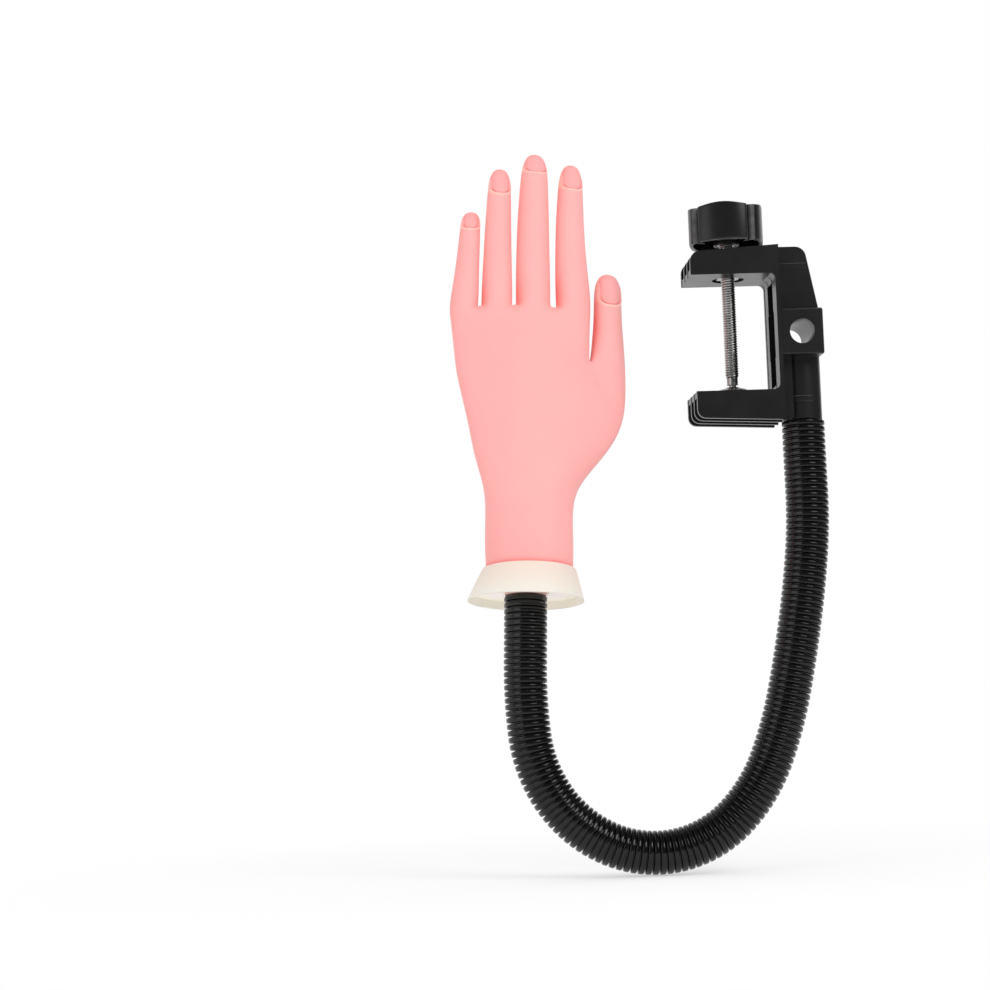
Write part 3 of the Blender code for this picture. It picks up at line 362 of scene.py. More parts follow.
def makeFinish(name, facts):
    # tint drift, moulded grain and, where the finish has it, a painted highlight along its edges
    material = bpy.data.materials.new(name)
    material.use_nodes = True
    tree = material.node_tree
    shader = tree.nodes["Principled BSDF"]
    shader.inputs["Metallic"].default_value = facts.get("metallic", 0.0)
    shader.inputs["Specular IOR Level"].default_value = facts.get("specular", 0.5)
    if "subsurface" in facts:
        shader.inputs["Subsurface Weight"].default_value = facts["subsurface"]
        shader.inputs["Subsurface Radius"].default_value = facts["reach"]
        shader.inputs["Subsurface Scale"].default_value = facts["depth"]
    mottle = addNode(tree, "ShaderNodeGroup", node_tree=mottleGroup)
    mottle.inputs["Scale"].default_value = facts["drift"]
    mottle.inputs["Tint"].default_value = (*facts["tint"], 1)
    mottle.inputs["Other Tint"].default_value = (*facts["otherTint"], 1)
    colour = mottle.outputs["Color"]
    if "highlight" in facts:
        highlight = addNode(tree, "ShaderNodeGroup", node_tree=highlightGroup)
        highlight.inputs["Least"].default_value, highlight.inputs["Most"].default_value = facts["highlight"]
        mix = addNode(tree, "ShaderNodeMix", data_type="RGBA")
        mix.inputs["B"].default_value = (*facts["highlightTint"], 1)
        tree.links.new(highlight.outputs["Mask"], mix.inputs["Factor"])
        tree.links.new(colour, mix.inputs["A"])
        colour = mix.outputs["Result"]
    tree.links.new(colour, shader.inputs["Base Color"])
    grain = addNode(tree, "ShaderNodeGroup", node_tree=grainGroup)
    grain.inputs["Scale"].default_value = facts["grain"]
    rough = addNode(tree, "ShaderNodeMapRange")
    rough.inputs["To Min"].default_value, rough.inputs["To Max"].default_value = facts["roughness"]
    tree.links.new(grain.outputs["Mask"], rough.inputs["Value"])
    tree.links.new(rough.outputs["Result"], shader.inputs["Roughness"])
    bump = addNode(tree, "ShaderNodeBump", Strength=facts["bump"], Distance=0.0004)
    tree.links.new(grain.outputs["Height"], bump.inputs["Height"])
    tree.links.new(bump.outputs["Normal"], shader.inputs["Normal"])
    return material


def mixByMask(material, maskName, tint, strength):
    # lays a second tint over a finish wherever the mesh's own mask says so
    tree = material.node_tree
    shader = tree.nodes["Principled BSDF"]
    before = shader.inputs["Base Color"].links[0].from_socket
    mask = addNode(tree, "ShaderNodeAttribute", attribute_name=maskName)
    share = addNode(tree, "ShaderNodeMath", operation="MULTIPLY")
    share.inputs[1].default_value = strength
    tree.links.new(mask.outputs["Fac"], share.inputs[0])
    mix = addNode(tree, "ShaderNodeMix", data_type="RGBA")
    mix.inputs["B"].default_value = (*tint, 1)
    tree.links.new(share.outputs[0], mix.inputs["Factor"])
    tree.links.new(before, mix.inputs["A"])
    tree.links.new(mix.outputs["Result"], shader.inputs["Base Color"])


def paintedGlowByMask(material, maskName, tint):
    # painted glow: an emission that stands in for the light soaking through a thin milky wall, where the
    # mesh's own mask says so
    tree = material.node_tree
    shader = tree.nodes["Principled BSDF"]
    mask = addNode(tree, "ShaderNodeAttribute", attribute_name=maskName)
    mix = addNode(tree, "ShaderNodeMix", data_type="RGBA")
    mix.inputs["A"].default_value = (0, 0, 0, 1)
    mix.inputs["B"].default_value = (*tint, 1)
    tree.links.new(mask.outputs["Fac"], mix.inputs["Factor"])
    tree.links.new(mix.outputs["Result"], shader.inputs["Emission Color"])
    shader.inputs["Emission Strength"].default_value = 1.0


made = {name: makeFinish(name, facts) for name, facts in finishes.items()}
maskTints = (
    # finish, mask, tint laid over the finish, strength
    ("softVinyl", "nailMask", (0.915, 0.385, 0.375), 0.8),
    # painted highlight on the nail's raised rim and painted shade in the crease inside its outline
    ("softVinyl", "rimHighlightMask", (0.990, 0.600, 0.500), 0.8),
    ("softVinyl", "creaseShadeMask", (0.800, 0.190, 0.190), 0.8),
    # painted shade on the hand's flanks, in the clefts between the digits and round the wrist
    ("softVinyl", "paintedShadeMask", (0.950, 0.135, 0.115), 0.8),
    ("creamPlastic", "warmMask", (0.830, 0.670, 0.580), 0.9),
    # painted light on the cone's inner wall and its web, which stand in shade
    ("creamPlastic", "innerLightMask", (0.930, 0.870, 0.760), 1.0),
    ("creamPlastic", "webLightMask", (0.960, 0.900, 0.900), 1.0),
)
# painted glow on the cone's inner wall and web
paintedWallGlow = (0.200, 0.185, 0.150)
for name, maskName, tint, strength in maskTints:
    mixByMask(made[name], maskName, tint, strength)
paintedGlowByMask(made["creamPlastic"], "innerLightMask", paintedWallGlow)
print("finishes made:", ", ".join(made))

slotFinish = {
    "skin_pink": "softVinyl",
    "cone_cream": "creamPlastic",
    "plug_white": "palePlastic",
    "sleeve_rose": "roseRubber",
    "clamp_black": "blackPlastic",
    "hose_black": "hosePlastic",
    "bright_steel": "platedSteel",
    "core_steel": "woundSteel",
}
nodeSlot = {row["node"]: row["material_slot"] for row in frame["record"]["subparts"]}
for name, node in cadNodes.items():
    node.data.materials.clear()
    node.data.materials.append(made[slotFinish[nodeSlot[name]]])


# Mesh helpers

softEdges = {
    "weld": 0.000005,
    "flatAngle": 1.0,  # facets that meet flatter than this are one face
    "edgeAngle": 32,  # edges sharper than this are rounded
    "widthShare": 0.95,  # of the rounding, under which a face counts as an edge
    "lengthShare": 3,  # an edge face is at least this many times longer than wide
    # painted highlight on the rounded edges: least everywhere, more where an edge looks down or to the tips
    "leastShine": 0.16,
    "facingShine": 0.84,  # more for an edge that looks down
    "tipShare": 0.7,  # as much of that for one that looks to the jaw tips
}


def addPiece(name, mesh, slot, replaced=()):
    # a visible piece with the finish of its slot
    piece = bpy.data.objects.new(name, mesh)
    bpy.context.collection.objects.link(piece)
    mesh.materials.clear()
    mesh.materials.append(made[slotFinish[slot]])
    if replaced:
        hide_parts(*replaced)
    return piece


def setMask(mesh, name, values):
    mask = mesh.attributes.new(name, "FLOAT", "POINT")
    mask.data.foreach_set("value", np.asarray(values, np.float32))


def ringMesh(name, rings, closed=False, sharp=40):
    # quads between successive rings of points; closed joins the last ring to the first
    mesh = bpy.data.meshes.new(name)
    count = len(rings[0])
    points = [point for ring in rings for point in ring]
    faces = []
    spans = len(rings) if closed else len(rings) - 1
    for i in range(spans):
        a, b = i * count, (i + 1) % len(rings) * count
        for j in range(count):
            k = (j + 1) % count
            faces.append((a + j, a + k, b + k, b + j))
    if not closed:
        faces.append(tuple(range(count)))
        faces.append(tuple(reversed(range((len(rings) - 1) * count, len(rings) * count))))
    mesh.from_pydata(points, [], faces)
    solid = bmesh.new()
    solid.from_mesh(mesh)
    bmesh.ops.recalc_face_normals(solid, faces=solid.faces)
    if solid.calc_volume(signed=True) < 0:
        bmesh.ops.reverse_faces(solid, faces=solid.faces)
    solid.to_mesh(mesh)
    solid.free()
    mesh.shade_smooth()
    mesh.set_sharp_from_angle(angle=math.radians(sharp))
    return mesh


def turnedRings(profile, sides, place):
    # radius and height pairs, turned round the place's own Z
    turns = [2 * math.pi * j / sides for j in range(sides)]
    return [
        [place @ Vector((radius * math.cos(t), radius * math.sin(t), height)) for t in turns]
        for radius, height in profile
    ]


def roundCorner(before, corner, after, radius, steps=4):
    # a corner of a profile drawn as a short curve
    corner = Vector(corner)
    start = corner + (Vector(before) - corner).normalized() * radius
    end = corner + (Vector(after) - corner).normalized() * radius
    shares = [i / steps for i in range(steps + 1)]
    return [tuple(start.lerp(corner, s).lerp(corner.lerp(end, s), s)) for s in shares]


def roundedProfile(corners, radius, closed=True):
    points = []
    count = len(corners)
    for i, corner in enumerate(corners):
        if not closed and i in (0, count - 1):
            points.append(corner)
            continue
        before, after = corners[i - 1], corners[(i + 1) % count]
        reach = min((Vector(corner) - Vector(p)).length for p in (before, after)) * 0.45
        points += roundCorner(before, corner, after, min(radius, reach))
    return points


def bakedMesh(carrier):
    # what a carrier's modifiers make of it; the carrier itself goes
    bpy.context.view_layer.update()
    graph = bpy.context.evaluated_depsgraph_get()
    mesh = bpy.data.meshes.new_from_object(carrier.evaluated_get(graph))
    bpy.data.objects.remove(carrier, do_unlink=True)
    return mesh


def markEdges(mesh, width):
    # painted highlight on faces narrower than the width, which are rounded edges; those that look down or to
    # the tips get the most
    values = []
    for face in mesh.polygons:
        corners = [mesh.vertices[i].co for i in face.vertices]
        longest = max((a - b).length for a, b in zip(corners, corners[1:] + corners[:1]))
        facing = max(0.0, -face.normal.z, -softEdges["tipShare"] * face.normal.x)
        narrow = face.area < longest * width and longest > softEdges["lengthShare"] * width
        values.append(softEdges["leastShine"] + softEdges["facingShine"] * facing if narrow else 0.0)
    mask = mesh.attributes.new("paintedHighlightMask", "FLOAT", "FACE")
    mask.data.foreach_set("value", np.asarray(values, np.float32))


def softCopy(node, name, edge, segments=2):
    # a rigid CAD node with its flat facets joined and its edges rounded as moulded or turned ones are
    mesh = cadNodes[node].data.copy()
    solid = bmesh.new()
    solid.from_mesh(mesh)
    bmesh.ops.remove_doubles(solid, verts=solid.verts, dist=softEdges["weld"])
    flat = math.radians(softEdges["flatAngle"])
    bmesh.ops.dissolve_limit(solid, angle_limit=flat, verts=solid.verts, edges=solid.edges)
    solid.to_mesh(mesh)
    solid.free()
    mesh.shade_smooth()
    carrier = bpy.data.objects.new(name, mesh)
    bpy.context.collection.objects.link(carrier)
    rounding = carrier.modifiers.new("rounding", "BEVEL")
    rounding.width = edge
    rounding.segments = segments
    rounding.limit_method = "ANGLE"
    rounding.angle_limit = math.radians(softEdges["edgeAngle"])
    even = carrier.modifiers.new("even", "WEIGHTED_NORMAL")
    even.weight = 100
    even.keep_sharp = False
    rounded = bakedMesh(carrier)
    markEdges(rounded, edge * softEdges["widthShare"])
    piece = addPiece(name, rounded, nodeSlot[node], [node])
    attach(piece, nodeBody[node])
    return piece


# Arm: the arcs of the corrugated hose, one for each joint

arm = {
    "start": (0.0352, 0.0, -0.0143),  # just below the clamp's socket
    "linkLength": 0.0345,
    "bends": (
        ("sway", 3.4), ("bend", 7.2), ("bend", 3.5), ("bend", 2.8), ("bend", 9.1), ("bend", 23.3),
        ("bend", 34.5), ("bend", 35.0), ("bend", 31.4), ("bend", 28.1), ("bend", 7.8), ("sway", -5.0),
    ),
    "ribsPerLink": 11,
    "crestRadius": 0.01085,
    "grooveRadius": 0.00890,
    "boreRadius": 0.0081,
    "crestPower": 6.5,
    "crestShare": 0.88,  # of the pitch taken by the crest
    "sides": 48,
    "coreRadius": 0.0070,
    "coreSides": 20,
    "coilsPerLink": 16,
    "coilSteps": 3,
    "coilDepth": 0.0006,
    "boreSteps": 12,
}


class Arc:
    def __init__(self, start, along, axis, angle):
        self.start = start
        self.along = along
        self.axis = axis
        self.angle = angle

    def point(self, run):
        if self.angle == 0:
            return self.start + self.along * run
        centre = self.start + self.axis.cross(self.along) * (arm["linkLength"] / self.angle)
        turn = Matrix.Rotation(self.angle * run / arm["linkLength"], 3, self.axis)
        return centre + turn @ (self.start - centre)

    def direction(self, run):
        return Matrix.Rotation(self.angle * run / arm["linkLength"], 3, self.axis) @ self.along

    def ring(self, run, radius, sides):
        centre = self.point(run)
        depth = self.direction(run).cross(self.axis)
        turns = [2 * math.pi * j / sides for j in range(sides)]
        return [centre + (self.axis * math.cos(t) + depth * math.sin(t)) * radius for t in turns]


def layArcs():
    start = Vector(arm["start"])
    along = Vector((0, 0, -1))
    plane = Vector((0, 1, 0))  # bends turn round this, sways round what lies across it
    arcs = []
    for kind, angle in arm["bends"]:
        axis = plane if kind == "bend" else plane.cross(along)
        arc = Arc(start.copy(), along.copy(), axis.copy(), math.radians(angle))
        turn = Matrix.Rotation(arc.angle, 3, axis)
        start = arc.point(arm["linkLength"])
        along = turn @ along
        plane = turn @ plane
        arcs.append(arc)
    return arcs, start, along, plane


arcs, armEnd, armWay, armPlane = layArcs()


def ribProfile():
    # runs and radii of one rib, from groove to groove: a flat groove and a full round crest
    share = arm["crestShare"]
    height = arm["crestRadius"] - arm["grooveRadius"]
    profile = [(-1.0, 0.0)]
    for u in (-1.0, -0.97, -0.88, -0.7, -0.4, 0.0, 0.4, 0.7, 0.88, 0.97, 1.0):
        profile.append((u * share, height * (1 - abs(u) ** arm["crestPower"]) ** 0.5))
    return [((u + 1) / 2, arm["grooveRadius"] + rise) for u, rise in profile]


def makeHoseArc(number):
    arc = arcs[number]
    pitch = arm["linkLength"] / arm["ribsPerLink"]
    rings = []
    for rib in range(arm["ribsPerLink"]):
        for share, radius in ribProfile():
            rings.append(arc.ring((rib + share) * pitch, radius, arm["sides"]))
    rings.append(arc.ring(arm["linkLength"], arm["grooveRadius"], arm["sides"]))
    for step in range(arm["boreSteps"], -1, -1):
        run = arm["linkLength"] * step / arm["boreSteps"]
        rings.append(arc.ring(run, arm["boreRadius"], arm["sides"]))
    mesh = ringMesh(f"hoseArc{number + 1:02d}", rings, closed=True, sharp=50)
    replaced = [f"hose_{number:02d}"] + ([f"hose_{number + 1:02d}"] if number == len(arcs) - 1 else [])
    piece = addPiece(mesh.name, mesh, "hose_black", replaced)
    arc.point(0)
    arc.point(arm["linkLength"])
    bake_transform(piece)


def makeCoreArc(number):
    arc = arcs[number]
    coils = arm["coilsPerLink"]
    rings = []
    steps = coils * arm["coilSteps"]
    for step in range(steps + 1):
        run = arm["linkLength"] * step / steps
        dip = arm["coilDepth"] if step % arm["coilSteps"] == 0 else 0.0
        rings.append(arc.ring(run, arm["coreRadius"] - dip, arm["coreSides"]))
    mesh = ringMesh(f"woundRod{number + 1:02d}", rings, sharp=60)
    replaced = [f"core_{number:02d}"] + ([f"core_{number + 1:02d}"] if number == len(arcs) - 1 else [])
    piece = addPiece(mesh.name, mesh, "core_steel", replaced)
    arc.point(0)
    arc.point(arm["linkLength"])
    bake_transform(piece)


for number in range(len(arcs)):
    makeHoseArc(number)
    makeCoreArc(number)
print("hose laid in", len(arcs), "arcs")


# Clamp: the moulded frame, screw, nut, pad and knob

clamp = {
    "frameEdge": 0.00045,
    "smallEdge": 0.00025,
    "screwRadius": 0.0036,
    "threadPitch": 0.00127,
    "threadDepth": 0.00060,
    "threadStart": 0.0084,
    "threadLap": 0.0004,  # how far the thread and the plain end reach into each other
    "threadInset": 0.0003,
    "screwFoot": 0.0020,
    "neckRadius": 0.0018,
    "endRadius": 0.0028,
    "endFoot": 0.0048,
    "endEdge": 0.0002,
    "endSides": 40,
    "screwTop": 0.0915,
    "threadSides": 28,
    "threadSteps": 6,  # rings for each turn of the thread
    "padRadius": 0.0088,
    "padBase": 0.0003,
    "padRimHeight": 0.0012,
    "padDomeRadius": 0.0064,
    "padDomeHeight": 0.0024,
    "padRootRadius": 0.0038,
    "padRootHeight": 0.0029,
    "padNeckRadius": 0.0034,
    "padEdge": 0.0005,
    "padSides": 64,
    "padSeatRadius": 0.0025,
    "padSeatFloor": 0.0017,
    "padHeight": 0.0034,
    "pinHeight": 0.0072,
    "pinRadius": 0.0008,
    "pinBore": 0.0006,
    "pinLength": 0.0053,
    "pinGap": 0.0001,
    "pinSides": 24,
    "boreReach": 0.0040,
    "axisRadius": 0.0002,  # where a turned outline meets its axis
}
knob = {
    "foot": 0.0768, "height": 0.0180, "radius": 0.0187, "swell": 0.0016, "valley": 0.0048, "power": 48,
    "lobes": 4, "turn": 104, "wall": 0.0022, "top": 0.0030, "edge": 0.0009, "hubRadius": 0.0066,
    "bore": 0.0052, "boreHeight": 0.0114, "screwBore": 0.0037, "sides": 576, "crown": 0.0013, "arch": 0.0014,
    # lipShine and valleyShine are painted highlights on the knob's lower lip and beside its valleys
    "crownRadius": 0.0206, "lipShine": 0.40, "valleyShine": 0.55, "valleyPlace": 0.3, "valleySpread": 0.3,
    "roundReach": 0.010,  # from the outline's edge inwards, where the top turns from round to lobed
    "lipHeight": 0.0008, "lipInset": 0.0004, "mouthHeight": 0.0006, "innerEdge": 0.0008,
    "shelfRadius": 0.0075, "hubRoot": 0.0095, "hubEdge": 0.0004,
    # share of the lobed outline and radius of each ring on the top
    "topShares": ((0.0, 0.0004), (0.25, 0.004), (0.6, 0.006)),
}
mouldBands = {
    "upperEdge": (0.2, 0.98),  # how far up the faces look that carry the painted highlight
    # centre on the frame's front, and length, depth and height
    "finBand": {
        "centre": (0.0311, -0.0103, 0.0636), "size": (0.0156, 0.0008, 0.0030), "edge": 0.00022,
        "shine": 0.40, "lowShine": 0.08,
    },
    "socketBand": {
        "foot": -0.0055, "height": 0.0030, "radius": 0.01035, "inner": 0.0094, "edge": 0.00025,
        "from": 215, "to": 292, "steps": 24, "shine": 0.40, "lowShine": 0.08,
    },
}


def makeThreadedScrew():
    facts = clamp
    radius = facts["screwRadius"]
    rings = []
    sides = facts["threadSides"]
    turns = [2 * math.pi * j / sides for j in range(sides)]
    foot, core = facts["threadStart"] - facts["threadLap"], facts["endRadius"] - facts["threadInset"]
    rings.append([Vector((core * math.cos(t), core * math.sin(t), foot)) for t in turns])
    # painted highlight on the thread's crests, none in its grooves
    crests = [0.0] * sides
    length = facts["screwTop"] - facts["threadStart"]
    steps = int(length / facts["threadPitch"] * facts["threadSteps"])
    for step in range(steps + 1):
        z = facts["threadStart"] + length * step / steps
        fade = min(1.0, (z - facts["threadStart"]) / facts["threadPitch"])
        ring = []
        for t in turns:
            phase = (z / facts["threadPitch"] - t / (2 * math.pi)) % 1.0
            dip = abs(2 * phase - 1) * facts["threadDepth"] * fade
            r = radius - dip - (1 - fade) * (radius - facts["endRadius"])
            ring.append(Vector((r * math.cos(t), r * math.sin(t), z)))
            crests.append(max(0.0, 1 - abs(2 * phase - 1) * 2) * fade)
        rings.append(ring)
    mesh = ringMesh("threadedScrew", rings, sharp=75)
    setMask(mesh, "paintedHighlightMask", crests)
    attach(addPiece("threadedScrew", mesh, "bright_steel", ["clamp_screw"]), "screw")


def makeScrewNeck():
    # the plain end of the screw, bored across for its spring pin
    facts = clamp
    top = facts["threadStart"] + facts["threadLap"]
    outline = roundedProfile(
        [
            (facts["axisRadius"], facts["screwFoot"]), (facts["neckRadius"], facts["screwFoot"]),
            (facts["neckRadius"], facts["endFoot"]), (facts["endRadius"], facts["endFoot"]),
            (facts["endRadius"], top), (facts["axisRadius"], top),
        ],
        facts["endEdge"],
        closed=False,
    )
    mesh = ringMesh("screwNeck", turnedRings(outline, facts["endSides"], Matrix()), sharp=50)
    across = Matrix.Translation((0, 0, facts["pinHeight"])) @ Matrix.Rotation(math.radians(90), 4, "X")
    reach, sides = facts["boreReach"], facts["pinSides"]
    bore = [(facts["pinRadius"] + facts["pinGap"], height) for height in (-reach, reach)]
    bore = bpy.data.objects.new("neckBore", ringMesh("neckBore", turnedRings(bore, sides, across)))
    bpy.context.collection.objects.link(bore)
    neck = bpy.data.objects.new("screwNeck", mesh)
    bpy.context.collection.objects.link(neck)
    cut = neck.modifiers.new("bore", "BOOLEAN")
    cut.operation = "DIFFERENCE"
    cut.solver = "EXACT"
    cut.object = bore
    bored = bakedMesh(neck)
    bpy.data.objects.remove(bore, do_unlink=True)
    bored.shade_smooth()
    bored.set_sharp_from_angle(angle=math.radians(40))
    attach(addPiece("screwNeck", bored, "bright_steel", ["clamp_screw"]), "screw")
    inner, outer, half = facts["pinBore"], facts["pinRadius"], facts["pinLength"] / 2
    middle = facts["axisRadius"] / 2
    outline = [(middle, 0.0), (inner, 0.0), (inner, half), (outer, half), (outer, -half), (middle, -half)]
    pin = ringMesh("springPin", turnedRings(outline, sides, across))
    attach(addPiece("springPin", pin, "bright_steel", ["stop_pin"]), "screw")


def makePad():
    facts = clamp
    base, top, floor = facts["padBase"], facts["padBase"] + facts["padHeight"], facts["padSeatFloor"]
    middle, rim = facts["axisRadius"] * 1.5, facts["padRadius"]
    outline = roundedProfile(
        [
            (middle, floor), (facts["padSeatRadius"], floor), (facts["padSeatRadius"], top),
            (facts["padNeckRadius"], top), (facts["padRootRadius"], base + facts["padRootHeight"]),
            (facts["padDomeRadius"], base + facts["padDomeHeight"]), (rim, base + facts["padRimHeight"]),
            (rim, base), (middle, base),
        ],
        facts["padEdge"],
    )
    rings = turnedRings(outline, facts["padSides"], Matrix())
    mesh = ringMesh("pressurePad", rings, closed=True, sharp=50)
    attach(addPiece("pressurePad", mesh, "bright_steel", ["pressure_pad"]), "pad")


def knobRadius(turn, inset):
    wave = (1 - math.cos(knob["lobes"] * turn)) / 2
    return knob["radius"] - inset + knob["swell"] * wave - knob["valley"] * wave ** knob["power"]


def makeKnob():
    # each step: share of the lobed outline, inset from it or plain radius, height
    foot, top = knob["foot"], knob["foot"] + knob["height"]
    ceiling = top - knob["top"]
    edge, wall = knob["edge"], knob["wall"]
    reach, lip, start = knob["roundReach"], foot + knob["lipHeight"], knob["lipInset"]
    outer = roundedProfile([(reach, top), (0.0, top), (0.0, lip), (start, foot)], edge, False)
    steps = [(share, radius, top) for share, radius in knob["topShares"]]
    steps += [(1.0, inset, height) for inset, height in outer]
    mouth = (wall, foot + knob["mouthHeight"])
    inner = [(wall - start, foot), mouth, (wall, ceiling), (knob["shelfRadius"], ceiling)]
    inner = roundedProfile(inner, knob["innerEdge"], False)
    steps += [(1.0, inset, height) for inset, height in inner]
    hub = roundedProfile(
        [
            (knob["hubRoot"], ceiling), (knob["hubRadius"], ceiling), (knob["hubRadius"], foot),
            (knob["bore"], foot), (knob["bore"], foot + knob["boreHeight"]),
            (knob["screwBore"], foot + knob["boreHeight"]), (knob["screwBore"], ceiling), (start, ceiling),
        ],
        knob["hubEdge"],
        False,
    )
    steps += [(0.0, radius, height) for radius, height in hub]
    rings = []
    shine = []
    for share, size, height in steps:
        ring = []
        for j in range(knob["sides"]):
            turn = 2 * math.pi * j / knob["sides"]
            wave = (1 - math.cos(knob["lobes"] * turn)) / 2
            valley = wave ** knob["power"] if share == 1.0 and size < wall / 2 and height < top else 0.0
            # painted highlight beside the valleys and along the lower lip
            lit = math.exp(-((valley - knob["valleyPlace"]) / knob["valleySpread"]) ** 2)
            valleyLight = knob["valleyShine"] * lit * (valley > 0.05)
            atLip = share == 1.0 and height < foot + 0.0003
            shine.append(max(valleyLight, knob["lipShine"] * atLip))
            radius = size
            if share == 1.0:
                radius = knobRadius(turn, size)
            elif share > 0:
                radius = size + (knobRadius(turn, reach) - size) * share
            place = turn - math.radians(knob["turn"])
            rise = 0.0
            if height > ceiling + 0.0001:
                rise = knob["crown"] * (1 - (radius / knob["crownRadius"]) ** 2)
                rise += knob["arch"] * (1 - wave) * min(1.0, radius / knob["radius"]) ** 2
            ring.append(Vector((radius * math.cos(place), radius * math.sin(place), height + rise)))
        rings.append(ring)
    mesh = ringMesh("starKnob", rings, sharp=50)
    setMask(mesh, "paintedHighlightMask", shine)
    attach(addPiece("starKnob", mesh, "clamp_black", ["clamp_knob"]), "screw")


def addBand(name, mesh, facts):
    # a shallow raised band on the frame, with a painted highlight on its upper edge and a fainter one on its
    # lower edge
    low, high = mouldBands["upperEdge"]
    values = []
    for face in mesh.polygons:
        up = face.normal.z
        values.append(facts["shine"] if low < up < high else facts["lowShine"] if up < -low else 0.0)
    mask = mesh.attributes.new("paintedHighlightMask", "FLOAT", "FACE")
    mask.data.foreach_set("value", np.asarray(values, np.float32))
    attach(addPiece(name, mesh, "clamp_black"), "clamp")


def makeFinBand():
    facts = mouldBands["finBand"]
    mesh = bpy.data.meshes.new("finBand")
    solid = bmesh.new()
    bmesh.ops.create_cube(solid, size=1.0)
    solid.transform(Matrix.Translation(facts["centre"]) @ Matrix.Diagonal((*facts["size"], 1.0)))
    bmesh.ops.bevel(solid, geom=solid.edges, offset=facts["edge"], segments=1, affect="EDGES")
    solid.to_mesh(mesh)
    solid.free()
    addBand("finBand", mesh, facts)


def makeSocketBand():
    facts = mouldBands["socketBand"]
    low, high, edge = facts["foot"], facts["foot"] + facts["height"], facts["edge"]
    inner, outer = facts["inner"], facts["radius"]
    outline = [
        (inner, low), (outer - edge, low), (outer, low + edge),
        (outer, high - edge), (outer - edge, high), (inner, high),
    ]
    rings = []
    for step in range(facts["steps"] + 1):
        t = math.radians(facts["from"] + (facts["to"] - facts["from"]) * step / facts["steps"])
        rings.append([
            Vector((arm["start"][0] + r * math.cos(t), r * math.sin(t), z)) for r, z in outline
        ])
    mesh = ringMesh("socketBand", rings)
    addBand("socketBand", mesh, facts)


softCopy("clamp_body", "clampFrame", clamp["frameEdge"])
softCopy("jaw_nut", "jawNut", clamp["smallEdge"])
softCopy("socket_ferrule", "socketFerrule", clamp["smallEdge"])
softCopy("knob_insert", "knobInsert", clamp["smallEdge"])
makeThreadedScrew()
makeScrewNeck()
makePad()
makeKnob()
makeFinBand()
makeSocketBand()
print("clamp, screw and knob made")


# Wrist: cone, disc, sleeve and the stud inside, set out above the cone's rim

wrist = {
    "hoseEnd": 0.0016,
    "coneRim": 0.0295, "coneTop": 0.0236, "coneHeight": 0.0153, "coneWall": 0.0012,
    "coneLean": 0.0017,  # the top stands this far towards the thumb's side
    "rimSlant": 0.0015,  # the rim's front hangs this far lower than its back
    "webHeight": 0.0040, "webThickness": 0.0024, "sleeveRadius": 0.0108, "coneEdge": 0.0007,
    "coneSides": 120,
    # where each tint starts and how far it takes to reach its full strength: the inner and web tints are
    # painted light on the cone's shaded inside, the warm one grows towards the top
    "innerFade": (0.0006, 0.0012), "webFade": (0.0026, 0.0012), "warmFade": (0.005, 0.008),
    "discEdge": 0.0004, "rubberEdge": 0.0003, "steelEdge": 0.0003, "washerEdge": 0.0002,
}


def makeHandPlace():
    up = armWay.normalized()
    across = armPlane.cross(up).normalized()
    turn = Matrix((across, up.cross(across), up)).transposed().to_4x4()
    return Matrix.Translation(armEnd - up * wrist["hoseEnd"]) @ turn


handPlace = makeHandPlace()


def makeCone():
    facts = wrist
    slope = (facts["coneRim"] - facts["coneTop"]) / facts["coneHeight"]

    def inside(height):
        return facts["coneRim"] - slope * height - facts["coneWall"]

    webTop = facts["webHeight"] + facts["webThickness"]
    outline = roundedProfile(
        [
            (inside(facts["coneHeight"]), facts["coneHeight"]), (facts["coneTop"], facts["coneHeight"]),
            (facts["coneRim"], 0.0), (inside(0.0), 0.0),
            (inside(facts["webHeight"]), facts["webHeight"]), (facts["sleeveRadius"], facts["webHeight"]),
            (facts["sleeveRadius"], webTop), (inside(webTop), webTop),
        ],
        facts["coneEdge"],
    )
    rings = turnedRings(outline, facts["coneSides"], handPlace)
    mesh = ringMesh("wristCone", rings, closed=True, sharp=60)
    back = handPlace.inverted()
    places = [back @ v.co for v in mesh.vertices]
    away = np.array([facts["coneRim"] - slope * p.z - math.hypot(p.x, p.y) for p in places])
    heights = np.array([p.z for p in places])
    # painted light on the inner wall and the web, and a warmer tint towards the top
    masks = ("innerLightMask", away, "innerFade"), ("webLightMask", away, "webFade"), ("warmMask", heights, "warmFade")
    for name, values, fade in masks:
        start, reach = facts[fade]
        setMask(mesh, name, np.clip((values - start) / reach, 0, 1))
    for v, p in zip(mesh.vertices, places):
        climb = p.z / facts["coneHeight"]
        drop = facts["rimSlant"] / 2 * (1 - climb) * (1 - p.y / facts["coneRim"])
        v.co = handPlace @ (p + Vector((facts["coneLean"] * climb, 0.0, -drop)))
    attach(addPiece("wristCone", mesh, "cone_cream", ["base_cone"]), "hand")


makeCone()
softCopy("wrist_plug", "wristDisc", wrist["discEdge"])
softCopy("neck_sleeve", "neckSleeve", wrist["rubberEdge"])
softCopy("wrist_stud", "wristStud", wrist["steelEdge"])
softCopy("wrist_washer", "wristWasher", wrist["washerEdge"])
softCopy("wrist_nut", "wristNut", wrist["steelEdge"])
print("wrist made")


# Hand: a cage of palm and finger rings, subdivided, then worked point by point

